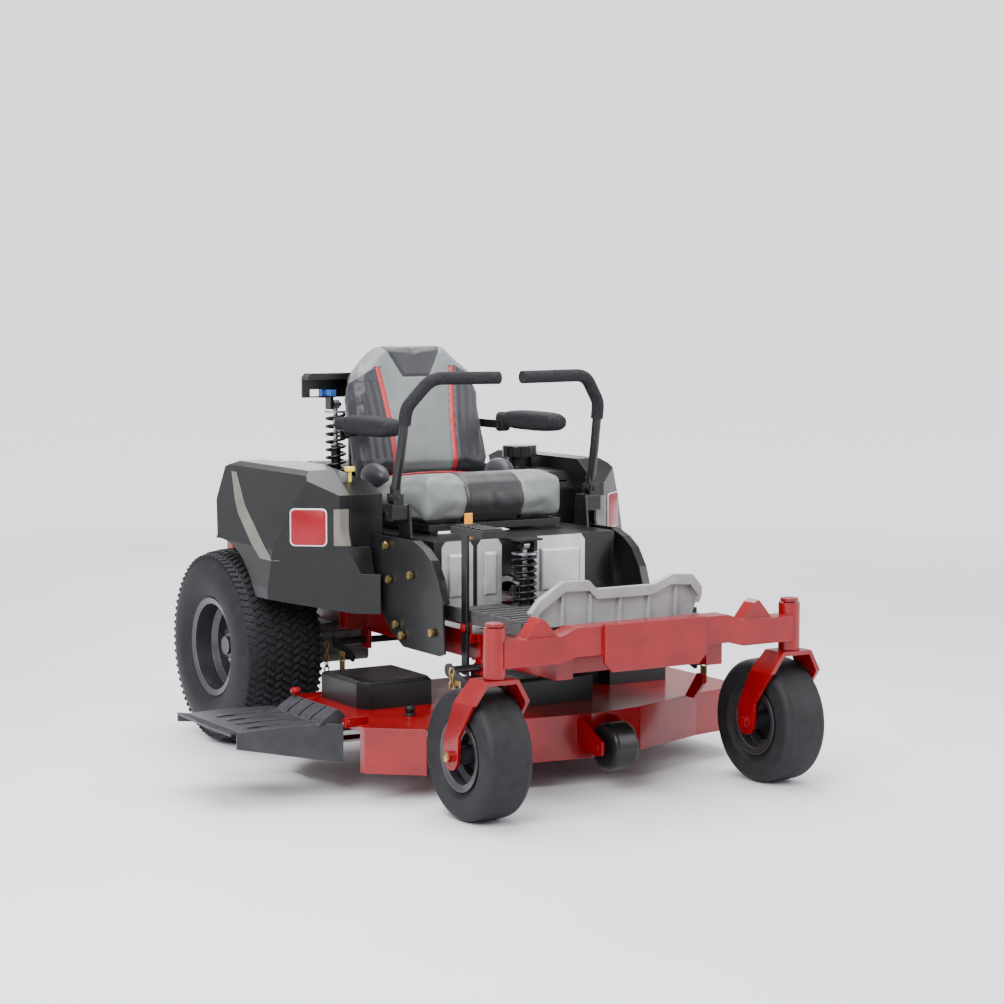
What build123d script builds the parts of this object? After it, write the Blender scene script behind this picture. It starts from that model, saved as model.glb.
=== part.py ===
from build123d import *
import os
from math import cos, hypot, pi, radians, sin

os.makedirs("parts", exist_ok=True)

# A ride-on mower with zero turning radius. Millimetres, +Z up, front towards -Y,
# the machine's right side towards -X. Everything is laid out about the point on the
# ground midway between the axles, and moved at the end so that the origin is the
# centre of the bounding box's bottom face.

# ---------------------------------------------------------------- driving dimensions
WHEELBASE = 1240.0
FRONT_AXLE_Y = -WHEELBASE / 2
REAR_AXLE_Y = WHEELBASE / 2
CASTER_TRAIL = 76.0
CASTER_X = 450.0
CASTER_Y = FRONT_AXLE_Y - CASTER_TRAIL
CASTER_TYRE_D = 330.0
CASTER_TYRE_W = 127.0
CASTER_RIM_D = 152.0
DRIVE_X = 500.0
DRIVE_TYRE_D = 559.0
DRIVE_TYRE_W = 254.0
DRIVE_RIM_D = 254.0
RIM_LIP = 14.0      # height of a rim's flange above the bead seat

RUN = 0.05          # radial running clearance of a shaft or pin
SEAT_GAP = 0.3      # gap between pieces that rest on each other but may move
PLATE = 6.0         # frame plate
SHEET = 4.0         # moulded covers and light sheet

RAIL_IN = 205.0
RAIL_W = 50.0
RAIL_OUT = RAIL_IN + RAIL_W
RAIL_Z = 335.0
RAIL_H = 70.0
RAIL_TOP = RAIL_Z + RAIL_H
RAIL_FRONT = CASTER_Y + 66.0
RAIL_REAR = 1090.0
BEAM_D = 60.0
BEAM_WALL = 5.0
POST_R = 28.5
POST_Z = 362.0
POST_TOP = 487.0
SPINDLE_R = 15.0
SIDE_PLATE_X = 326.0

PIVOT_Y = -585.0    # front hinge of the suspended platform
PIVOT_Z = 428.0
PIVOT_R = 8.0
FLOOR_Z = 452.0
FLOOR_W = 540.0
FLOOR_REAR = -112.0
TOE_Y = -560.0
WALL_TOP = 600.0
BASE_TOP = 632.0    # top of the seat base
ARM_X = 283.0       # inner face of the platform's side arms
SHOCK_Y = 622.0
SHOCK_X = -205.0
SHOCK_LOW_Z = 700.0
SHOCK_TOP_Z = 966.0
SHOCK_PIN_R = 6.0
SHOCK_PLAY = 1.9    # the upper eyes' rubber bushes are left out: this play takes up the pins' arc
FRONT_SHOCK_X = -28.0
FRONT_SHOCK_Y = -150.0
FRONT_SHOCK_LOW_Z = 425.0
FRONT_SHOCK_TOP_Z = 612.0

SEAT_W = 450.0
SEAT_FRONT = 40.0
SEAT_REAR = 430.0
CUSHION_Z = 659.0
CUSHION_H = 130.0
BACK_BASE_Y = 437.0
BACK_BASE_Z = 795.0
BACK_LEAN = 14.5
BACK_THICK = 85.0
BACK_LENGTH = 370.0
BACK_W = 445.0
ARMREST_X = 269.0
ARMREST_PIVOT_Y = 430.0
ARMREST_PIVOT_Z = 905.0

LEVER_X = 317.0
LEVER_Y = 50.0
HUB_Z = 700.0
LEVER_PIVOT_Z = 738.0
LEVER_R = 12.7
GRIP_R = 17.5
GRIP_START = 940.0

POD_IN = 400.0
POD_LOW_IN = 345.0
POD_OUT = 590.0
POD_LEDGE_Z = 600.0
POD_TOP = 806.0
POD_REAR = 758.0
WHEEL_GAP = 32.0    # between the drive tyre and the pod's wheel arch

DECK_Z = 75.0
DECK_TOP = 193.0
DECK_WALL = 5.0
DECK_RIGHT = 604.0
DECK_LEFT = 612.0
DECK_REAR = 250.0
CUTTER_X = 396.0
CUTTER_SIDE_Y = 10.0
CUTTER_MID_Y = -168.0
BLADE_R = 192.0
BLADE_Z = 98.0
SPINDLE_SHAFT_R = 12.5
COVER_TOP = 266.0
CHUTE_PIVOT_X = -632.0
CHUTE_PIVOT_Z = 205.0
LIFT_R = 10.0
PEDAL_X = -284.0
PEDAL_Y = -270.0
PEDAL_Z = 420.0
LIFT_ARM = 100.0
LIFT_ANGLE = 17.2
LIFT_X = 380.0
LIFT_FRONT_Y = -310.0
LIFT_REAR_Y = 330.0
LIFT_FRONT_Z = 320.0
LIFT_REAR_Z = 310.0

ENGINE_Y = 860.0
ENGINE_PLATE_Z = RAIL_TOP
CRANK_R = 12.7
HITCH_R = 9.6

NODES = {}


# ---------------------------------------------------------------- helpers
def box(x0, x1, y0, y1, z0, z1):
    """The box between two corners."""
    size = Box(abs(x1 - x0), abs(y1 - y0), abs(z1 - z0))
    return Pos((x0 + x1) / 2, (y0 + y1) / 2, (z0 + z1) / 2) * size


def rod(axis, centre, radius, length):
    """A cylinder along axis "X", "Y" or "Z" about its centre."""
    turn = {"X": Rot(0, 90, 0), "Y": Rot(90, 0, 0), "Z": Rot(0, 0, 0)}[axis]
    return Pos(*centre) * turn * Cylinder(radius, length)


def prism(axis, points, low, high):
    """A polygon pushed along axis from low to high. Points are (y, z), (x, z) or (x, y)."""
    plane = {
        "X": Plane(origin=(0, 0, 0), x_dir=(0, 1, 0), z_dir=(1, 0, 0)),
        "Y": Plane(origin=(0, 0, 0), x_dir=(1, 0, 0), z_dir=(0, -1, 0)),
        "Z": Plane.XY,
    }[axis]
    sign = -1 if axis == "Y" else 1
    face = make_face(Polyline(*points, close=True))
    solid = extrude(face, high - low)
    solid = plane.location * solid
    shift = high if sign < 0 else low
    move = {"X": (shift, 0, 0), "Y": (0, shift, 0), "Z": (0, 0, shift)}[axis]
    return Pos(*move) * solid


def rounded(solid, radius, edges=None):
    """The solid with its edges rounded, or those chosen."""
    return fillet(edges if edges is not None else solid.edges(), radius)


def pipe(points, bends, radius):
    """A round bar along straight runs joined by arcs."""
    path = FilletPolyline(*points, radius=bends)
    start = Plane(origin=path @ 0, z_dir=path % 0)
    return sweep(start * Circle(radius), path=path)


def ring(profile):
    """A profile of (axial, radius) points turned about the X axis."""
    return revolve(make_face(Polyline(*profile, close=True)), Axis.X)


def node(name, *solids):
    """Files solids under one name."""
    NODES[name] = list(solids)


def bolt(axis, centre, radius, length, head=0.0):
    """A bolt shank with a six-sided head at its outer end."""
    side = -1 if centre[0] < 0 else 1
    shank = rod(axis, centre, radius, length)
    hexagon = extrude(RegularPolygon(radius * 1.9, 6), radius * 1.3)
    tip = centre[0] + side * length / 2
    turn = Rot(0, 90 * side, 0)
    return shank + Pos(tip, centre[1], centre[2]) * turn * hexagon if head else shank


# ---------------------------------------------------------------- wheels
def tyre(diameter, width, rim_d, wall):
    """A hollow tyre with a rounded crown and shoulders, about the X axis."""
    top = diameter / 2
    half = width / 2
    bead = rim_d / 2
    seat = half * 0.80
    lip = bead + RIM_LIP + 1
    outer = Polyline((-seat, bead), (-seat, lip), (-half, bead + (top - bead) * 0.35), (-half, top * 0.88))
    outer += ThreePointArc((-half, top * 0.88), (-half * 0.86, top * 0.965), (-half * 0.6, top * 0.99))
    outer += ThreePointArc((-half * 0.6, top * 0.99), (0, top), (half * 0.6, top * 0.99))
    outer += ThreePointArc((half * 0.6, top * 0.99), (half * 0.86, top * 0.965), (half, top * 0.88))
    outer += Polyline((half, top * 0.88), (half, bead + (top - bead) * 0.35), (seat, lip), (seat, bead),
                      (-seat, bead))
    solid = revolve(make_face(outer), Axis.X)
    inner = seat - wall
    hollow = ring([(-inner, bead - 1), (-half + wall, bead + (top - bead) * 0.36),
                   (-half + wall, top * 0.86), (-half * 0.55, top - wall), (half * 0.55, top - wall),
                   (half - wall, top * 0.86), (half - wall, bead + (top - bead) * 0.36),
                   (inner, bead - 1)])
    return solid - hollow


def rim(rim_d, width, dish, bore, hub_r, hub_len):
    """A pressed steel wheel: flanges, barrel, dished disc and hub, about the X axis."""
    edge = rim_d / 2
    seat = width * 0.4
    wall = 3.5
    lip = edge + RIM_LIP
    barrel = ring([(-seat - 8, lip), (-seat - 4, lip), (-seat - 0.5, edge),
                   (-seat * 0.5, edge - 2), (-seat * 0.4, edge - 16), (seat * 0.4, edge - 16),
                   (seat * 0.5, edge - 2), (seat + 0.5, edge), (seat + 4, lip), (seat + 8, lip),
                   (seat + 4, edge - 3), (seat * 0.55, edge - 3 - wall), (seat * 0.42, edge - 20),
                   (-seat * 0.42, edge - 20), (-seat * 0.55, edge - 3 - wall), (-seat - 4, edge - 3)])
    disc = ring([(dish, hub_r - 1), (dish, edge * 0.55), (dish * 0.4, edge - 19), (dish * 0.4 + wall + 1, edge - 19),
                 (dish + wall + 1, edge * 0.55), (dish + wall + 1, hub_r - 1)])
    hub = rod("X", (0, 0, 0), hub_r, hub_len)
    return barrel + disc + hub - rod("X", (0, 0, 0), bore, hub_len * 2 + 200)


def casters():
    """Caster forks with their stems, and the small wheels on their axles."""
    axle_z = CASTER_TYRE_D / 2
    axle_r = 9.5
    leg_in = CASTER_TYRE_W / 2 + 9.0
    leg_out = leg_in + 9.0
    crown_z = POST_Z - 21.0
    bend = 36.0
    strap = [(-leg_out, 100), (-leg_out, crown_z - bend), (-leg_out + bend, POST_Z - 1), (leg_out - bend, POST_Z - 1),
             (leg_out, crown_z - bend), (leg_out, 100), (leg_in, 100), (leg_in, crown_z - bend - 8),
             (leg_in - bend + 4, POST_Z - 12), (-leg_in + bend - 4, POST_Z - 12),
             (-leg_in, crown_z - bend - 8), (-leg_in, 100)]
    side = [(-38, POST_Z), (40, POST_Z), (58, crown_z - bend), (CASTER_TRAIL + 34, axle_z + 40),
            (CASTER_TRAIL + 34, axle_z), (CASTER_TRAIL - 34, axle_z), (CASTER_TRAIL - 38, axle_z + 52),
            (-30, crown_z - bend)]
    outline = prism("X", side, -120, 120) + rod("X", (0, CASTER_TRAIL, axle_z), 34, 240)
    fork = prism("Y", strap, -60, CASTER_TRAIL + 60) & outline
    fork += rod("Z", (0, 0, (POST_Z + POST_TOP) / 2 + 3), SPINDLE_R, POST_TOP - POST_Z + 12)
    fork += rod("Z", (0, 0, POST_TOP + 7), SPINDLE_R + 9, 8)
    fork += rod("X", (0, CASTER_TRAIL, axle_z), axle_r, 2 * leg_out + 2)
    for end in (-1, 1):
        fork += rod("X", (end * (leg_out + 6), CASTER_TRAIL, axle_z), axle_r + 5, 12)
    wheel_tyre = tyre(CASTER_TYRE_D, CASTER_TYRE_W, CASTER_RIM_D, 11)
    wheel_rim = rim(CASTER_RIM_D, CASTER_TYRE_W, 6, axle_r + RUN, 24, 2 * leg_in - 2)
    for name, x in (("right", -CASTER_X), ("left", CASTER_X)):
        place = Pos(x, CASTER_Y, 0)
        wheel = Pos(x, FRONT_AXLE_Y, axle_z)
        node(f"caster_fork_{name}", place * fork)
        node(f"caster_tyre_{name}", wheel * wheel_tyre)
        node(f"caster_rim_{name}", wheel * wheel_rim)


AXLE_R = 15.0


def drive_wheels():
    """The big driven wheels, with lug nuts on their hubs."""
    wheel_tyre = tyre(DRIVE_TYRE_D, DRIVE_TYRE_W, DRIVE_RIM_D, 13)
    wheel_rim = rim(DRIVE_RIM_D, DRIVE_TYRE_W, 22, AXLE_R + RUN, 34, 110)
    for k in range(5):
        angle = 2 * pi * k / 5
        nut = Pos(24, 52 * cos(angle), 52 * sin(angle)) * Rot(0, 90, 0) * extrude(RegularPolygon(11, 6), 20)
        wheel_rim += nut
    cap = rod("X", (61, 0, 0), 26, 14)
    wheel_rim += cap
    for name, side in (("right", -1), ("left", 1)):
        turn = Rot(0, 0, 180) if side < 0 else Rot(0, 0, 0)
        place = Pos(side * DRIVE_X, REAR_AXLE_Y, DRIVE_TYRE_D / 2)
        node(f"drive_tyre_{name}", place * turn * wheel_tyre)
        node(f"drive_rim_{name}", place * turn * wheel_rim)


# ---------------------------------------------------------------- frame
def front_beam():
    """The cranked front beam with the caster posts, ears and bumper plate."""
    def outline(inset, end):
        top = [(-end, 455 - inset), (-278, 455 - inset), (-232, 472 - inset), (232, 472 - inset),
               (278, 455 - inset), (end, 455 - inset)]
        low = [(end, 388 + inset), (278, 388 + inset), (232, 400 + inset), (-232, 400 + inset),
               (-278, 388 + inset), (-end, 388 + inset)]
        return top + low
    front = CASTER_Y - BEAM_D / 2
    beam = prism("Y", outline(0, CASTER_X - 10), front, front + BEAM_D)
    beam -= prism("Y", outline(BEAM_WALL, CASTER_X - 40), front + BEAM_WALL, front + BEAM_D - BEAM_WALL)
    for side in (-1, 1):
        beam += rod("Z", (side * CASTER_X, CASTER_Y, (POST_Z + POST_TOP) / 2), POST_R, POST_TOP - POST_Z)
        ear = [(side * 284, 454), (side * 376, 454), (side * 346, 490), (side * 334, 503), (side * 318, 496)]
        beam += prism("Y", ear, CASTER_Y - 22, CASTER_Y + 22)
        beam -= rod("Z", (side * CASTER_X, CASTER_Y, 400), SPINDLE_R + RUN, 300)
    plate = prism("Y", [(-155, 476), (155, 476), (155, 378), (132, 355), (-132, 355), (-155, 378)],
                  front - 10, front)
    plate = rounded(plate, 2.5, plate.faces().sort_by(Axis.Y)[0].edges())
    node("front_beam", beam, plate)


def main_frame():
    """Rails, cross members, outriggers and the hangers of the suspension."""
    solids = []
    for side in (-1, 1):
        a, b = side * RAIL_IN, side * RAIL_OUT
        tube = box(a, b, RAIL_FRONT, RAIL_REAR, RAIL_Z, RAIL_TOP)
        tube -= box(a + side * 4, b - side * 4, RAIL_FRONT + 4, RAIL_REAR - 4, RAIL_Z + 4, RAIL_TOP - 4)
        solids.append(tube)
        solids.append(box(a, b, CASTER_Y + BEAM_D / 2, RAIL_FRONT, RAIL_Z, 455))
        for y in (-40, 330):
            solids.append(box(b, side * SIDE_PLATE_X, y, y + 40, RAIL_Z + 8, RAIL_TOP - 12))
        for y, z in ((LIFT_FRONT_Y, LIFT_FRONT_Z), (LIFT_REAR_Y, LIFT_REAR_Z)):
            post = box(b, side * (RAIL_OUT + 10), y - 22, y + 22, z - 22, RAIL_Z + 8)
            solids.append(post - rod("X", (side * 260, y, z), LIFT_R + RUN, 60))
    for y, depth in ((-615, 40), (FRONT_SHOCK_Y - 25, 50), (250, 50), (RAIL_REAR - 40, 40)):
        solids.append(box(-RAIL_IN, RAIL_IN, y, y + depth, RAIL_Z + 4, RAIL_TOP - 4))
    ear = PEDAL_X + 4.5
    pedal_pin = box(ear, -RAIL_OUT, PEDAL_Y - 20, PEDAL_Y + 20, RAIL_TOP - 24, RAIL_TOP)
    pedal_pin += box(ear, ear + 4, PEDAL_Y - 20, PEDAL_Y + 20, RAIL_TOP - 24, PEDAL_Z + 14)
    pedal_pin += rod("X", (PEDAL_X - 2, PEDAL_Y, PEDAL_Z), 8, 20)
    pedal_pin += rod("X", (PEDAL_X - 6.5, PEDAL_Y, PEDAL_Z), 12, 4)
    solids.append(pedal_pin)
    for x in (-150, 150):
        lug = box(x - 6, x + 6, PIVOT_Y - 18, PIVOT_Y + 18, RAIL_TOP - 4, PIVOT_Z + 16)
        solids.append(lug + rod("X", (x * 1.12, PIVOT_Y, PIVOT_Z), PIVOT_R, 60))
    eye = box(FRONT_SHOCK_X - 31, FRONT_SHOCK_X - 21, FRONT_SHOCK_Y - 20, FRONT_SHOCK_Y + 20, RAIL_TOP - 4, 440)
    eye += rod("X", (FRONT_SHOCK_X, FRONT_SHOCK_Y, FRONT_SHOCK_LOW_Z), SHOCK_PIN_R, 42)
    solids.append(eye)
    post = box(SHOCK_X - 40, SHOCK_X - 30, SHOCK_Y - 22, SHOCK_Y + 22, RAIL_TOP, SHOCK_LOW_Z + 12)
    post += rod("X", (SHOCK_X - 12, SHOCK_Y, SHOCK_LOW_Z), SHOCK_PIN_R, 46)
    solids.append(post)
    node("main_frame", *solids)


SIDE_PLATE = [(150, 633), (-75, 634), (-130, 616), (-172, 590), (-210, 540), (-232, 480), (-243, 350),
              (-215, 341), (-18, 341), (60, 380), (115, 437), (372, 437), (372, 470), (200, 520), (152, 594)]
SIDE_BOLTS = [(68, 608), (52, 517), (-69, 541), (14, 398), (-185, 400)]


def side_plates():
    """Tall plates beside the footwell with a stiffening lip, and their bolts."""
    plates = []
    bolts = []
    for side in (-1, 1):
        x = side * SIDE_PLATE_X
        low, high = sorted((x, x + side * PLATE))
        plate = prism("X", SIDE_PLATE, low, high)
        lip_low, lip_high = sorted((x - side * 18, x))
        edge = [(-75, 634), (-130, 616), (-172, 590), (-210, 540), (-232, 480), (-226, 478), (-204, 537),
                (-168, 584), (-127, 610), (-75, 628)]
        plate += prism("X", edge, lip_low, lip_high)
        foot_low, foot_high = sorted((x + side * PLATE, side * POD_LOW_IN))
        plate += box(foot_low, foot_high, 150, 190, 470, 500)
        plates.append(plate)
        for y, z in SIDE_BOLTS:
            bolts.append(bolt("X", (side * (SIDE_PLATE_X + PLATE + 2), y, z), 6, 4, head=1))
        for y in (-20, 350):
            bolts.append(bolt("X", (side * (SIDE_PLATE_X + PLATE + 2), y, 372 if y < 0 else 450), 6, 4, head=1))
    node("side_plates", *plates)
    node("frame_bolts", *bolts)


# ---------------------------------------------------------------- body panels
def pod_block(inset):
    """The outer form of a side pod, or the same form set in by a wall."""
    t = inset
    side = [(POD_REAR - t, 787 - t), (725 - t, 692), (650 - t, 600), (650 - t, 400), (80 + t, 400),
            (80 + t, 527 - t), (118 + t, 527 - t), (156 + t, 640), (156 + t, 742 - t), (250 + t, POD_TOP - t),
            (700, POD_TOP - t)]
    low = 418 if t == 0 else 380
    section = [(-POD_LOW_IN - t, low), (-POD_LOW_IN - t, POD_LEDGE_Z - t), (-POD_IN - t, POD_LEDGE_Z - t),
               (-POD_IN - t, POD_TOP - t), (-478, POD_TOP - t), (-496 + t, 793 - t), (-540 + t, 700),
               (-578 + t, 590), (-POD_OUT + t, 482), (-POD_OUT + t, low)]
    plan = [(-POD_LOW_IN - t, 84 + t), (-POD_OUT + t, 285 + t), (-POD_OUT + t, 800), (-POD_LOW_IN - t, 800)]
    form = prism("X", side, -700, -300) & prism("Y", section, 0, 800) & prism("Z", plan, 300, 900)
    return form


def pods():
    """Hollow moulded covers beside the seat, cut away over the drive wheels."""
    outer = pod_block(0)
    arch = rod("X", (-POD_OUT, REAR_AXLE_Y, DRIVE_TYRE_D / 2), DRIVE_TYRE_D / 2 + WHEEL_GAP, 600)
    shell = outer - pod_block(SHEET) - arch
    hip = [(-POD_OUT - 10, 400), (-POD_OUT - 10, 455), (-470, 430), (-300, 400)]
    shell -= prism("Y", hip, 0, 900)
    solids = shell.solids().sort_by(SortBy.VOLUME)
    right = solids[-1]
    node("right_pod", right)
    left = mirror(right, Plane.YZ)
    node("left_pod", left)


def console_and_tank():
    """The right control console, the left fuel tank and its cap."""
    gap = SEAT_GAP
    side = [(156, POD_LEDGE_Z), (156, 742), (240, 770), (345, 782), (520, 800), (690, 800), (690, POD_LEDGE_Z)]
    console = prism("X", side, -POD_IN + gap, -300)
    hollow = [(160, POD_LEDGE_Z - 1), (160, 738), (241, 765), (346, 778), (520, 796), (686, 796),
              (686, POD_LEDGE_Z - 1)]
    console -= prism("X", hollow, -POD_IN + gap + SHEET, -300 - SHEET)
    console -= rod("Z", (-350, 253, 770), 5.5, 60)
    node("right_console", console)
    tank = prism("X", [(262, POD_LEDGE_Z), (262, 720), (310, 768), (600, 776), (640, 740), (640, POD_LEDGE_Z)],
                 292, POD_IN - gap)
    tank = rounded(tank, 14, tank.edges().filter_by(Axis.X).sort_by(Axis.Z)[-4:])
    tank += rod("Z", (346, 485, 786), 36, 30)
    tank -= box(304, 388, 280, 626, 612, 742)
    node("fuel_tank", tank)
    cap = rod("Z", (346, 485, 801 + gap + 17), 52, 34)
    cap = rounded(cap, 5, cap.edges().sort_by(Axis.Z)[-1:])
    for k in range(12):
        angle = 2 * pi * k / 12
        cap -= rod("Z", (346 + 54 * cos(angle), 485 + 54 * sin(angle), 818), 5, 60)
    node("fuel_cap", cap)
    knob = rod("Z", (-350, 253, 775), 5, 50) + rod("Z", (-350, 253, 806), 15, 12)
    node("blade_switch", rounded(knob, 3, knob.edges().sort_by(Axis.Z)[-1:]))


# ---------------------------------------------------------------- engine and drive
def engine():
    """Rear guard and engine plate, block with two finned cylinders, shroud, silencer."""
    plate = box(-260, 260, 690, RAIL_REAR, ENGINE_PLATE_Z, ENGINE_PLATE_Z + 8)
    plate -= rod("Z", (0, ENGINE_Y, 400), CRANK_R + 6, 60)
    guard = []
    for side in (-1, 1):
        a, b = sorted((side * 262, side * 322))
        guard.append(box(a, b, RAIL_REAR + 10, RAIL_REAR + 50, 330, 640))
        a, b = sorted((side * RAIL_IN, side * RAIL_OUT))
        guard.append(box(a, b, RAIL_REAR, RAIL_REAR + 10, RAIL_Z, RAIL_TOP + 8))
    hitch = box(-262, 262, RAIL_REAR + 10, RAIL_REAR + 50, 330, 385)
    guard.append(hitch - rod("Z", (0, RAIL_REAR + 30, 350), HITCH_R, 200))
    guard.append(box(-262, 262, RAIL_REAR + 10, RAIL_REAR + 50, 590, 640))
    node("engine_guard", plate, *guard)
    top = ENGINE_PLATE_Z + 8
    block = box(-110, 110, ENGINE_Y - 110, ENGINE_Y + 90, top, top + 190)
    block = rounded(block, 18, block.edges().filter_by(Axis.Z))
    block += rod("Z", (0, ENGINE_Y, 390), CRANK_R, 60)
    for side in (-1, 1):
        turn = Pos(side * 60, ENGINE_Y + 20, top + 115) * Rot(0, 0, side * -45)
        barrel = Rot(0, 0, -45 * side) * rod("Y", (0, 90, 0), 46, 120)
        for k in range(6):
            barrel += Rot(0, 0, -45 * side) * box(-66, 66, 62 + 15 * k, 68 + 15 * k, -60, 60)
        barrel += Rot(0, 0, -45 * side) * box(-60, 60, 150, 176, -54, 54)
        block += turn * barrel
    block += rod("Y", (-60, ENGINE_Y - 130, top + 40), 36, 60)
    node("engine_block", block)
    dome = rod("Z", (0, ENGINE_Y, top + 190 + 38), 148, 76)
    dome = rounded(dome, 16, dome.edges().sort_by(Axis.Z)[-1:])
    for k in range(5):
        radius = 40 + 18 * k
        slot = rod("Z", (0, ENGINE_Y, top + 266), radius + 5, 12) - rod("Z", (0, ENGINE_Y, top + 266), radius, 14)
        slot -= box(-6, 6, ENGINE_Y - 150, ENGINE_Y + 150, top + 250, top + 280)
        slot -= box(-150, 150, ENGINE_Y - 6, ENGINE_Y + 6, top + 250, top + 280)
        dome -= slot
    cleaner = rod("X", (0, ENGINE_Y + 105, top + 190 + 120), 52, 250)
    cleaner = rounded(cleaner, 8, cleaner.edges())
    foot = box(-60, 60, ENGINE_Y + 60, ENGINE_Y + 135, top + 190 + 76, top + 190 + 90)
    node("engine_shroud", dome, cleaner + foot)
    can = rod("X", (0, RAIL_REAR - 55, 480), 52, 380)
    can = rounded(can, 10, can.edges())
    can += rod("Z", (150, RAIL_REAR - 55, 430), 14, 34)
    can += rod("Z", (-150, RAIL_REAR - 55, 430), 14, 34)
    can += pipe([(150, RAIL_REAR - 55, 500), (150, RAIL_REAR - 55, 560), (210, RAIL_REAR - 20, 560)], 20, 16)
    node("muffler", can)
    pulley = rod("Z", (0, ENGINE_Y, 372), 60, 40) - rod("Z", (0, ENGINE_Y, 372), CRANK_R + RUN, 60)
    for z in (362, 382):
        pulley -= rod("Z", (0, ENGINE_Y, z), 64, 9) - rod("Z", (0, ENGINE_Y, z), 50, 9)
    node("crank_pulley", pulley)
    drives = []
    for side in (-1, 1):
        a, b = sorted((side * 140, side * 300))
        case = box(a, b, REAR_AXLE_Y - 75, REAR_AXLE_Y + 65, 215, RAIL_Z)
        case = rounded(case, 14, case.edges().filter_by(Axis.X))
        for k in range(4):
            case += box(a + 10, b - 10, REAR_AXLE_Y - 83, REAR_AXLE_Y - 74, 235 + 22 * k, 241 + 22 * k)
        case += rod("X", (side * 325, REAR_AXLE_Y, DRIVE_TYRE_D / 2), 32, 60)
        case += rod("X", (side * 410, REAR_AXLE_Y, DRIVE_TYRE_D / 2), AXLE_R, 230)
        case += rod("Z", (side * 175, REAR_AXLE_Y, RAIL_Z + 12), 9, 40)
        case += rod("Z", (side * 175, REAR_AXLE_Y, RAIL_Z + 26), 58 - 30, 12)
        drives.append(case)
    node("hydro_drives", *drives)


# ---------------------------------------------------------------- suspended platform
TOE = [(-275, 493), (-249, 523), (-175, 568), (-100, 566), (-77, 543), (100, 543), (158, 566), (224, 562),
       (252, 529), (252, 505), (228, FLOOR_Z), (-240, FLOOR_Z)]


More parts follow.
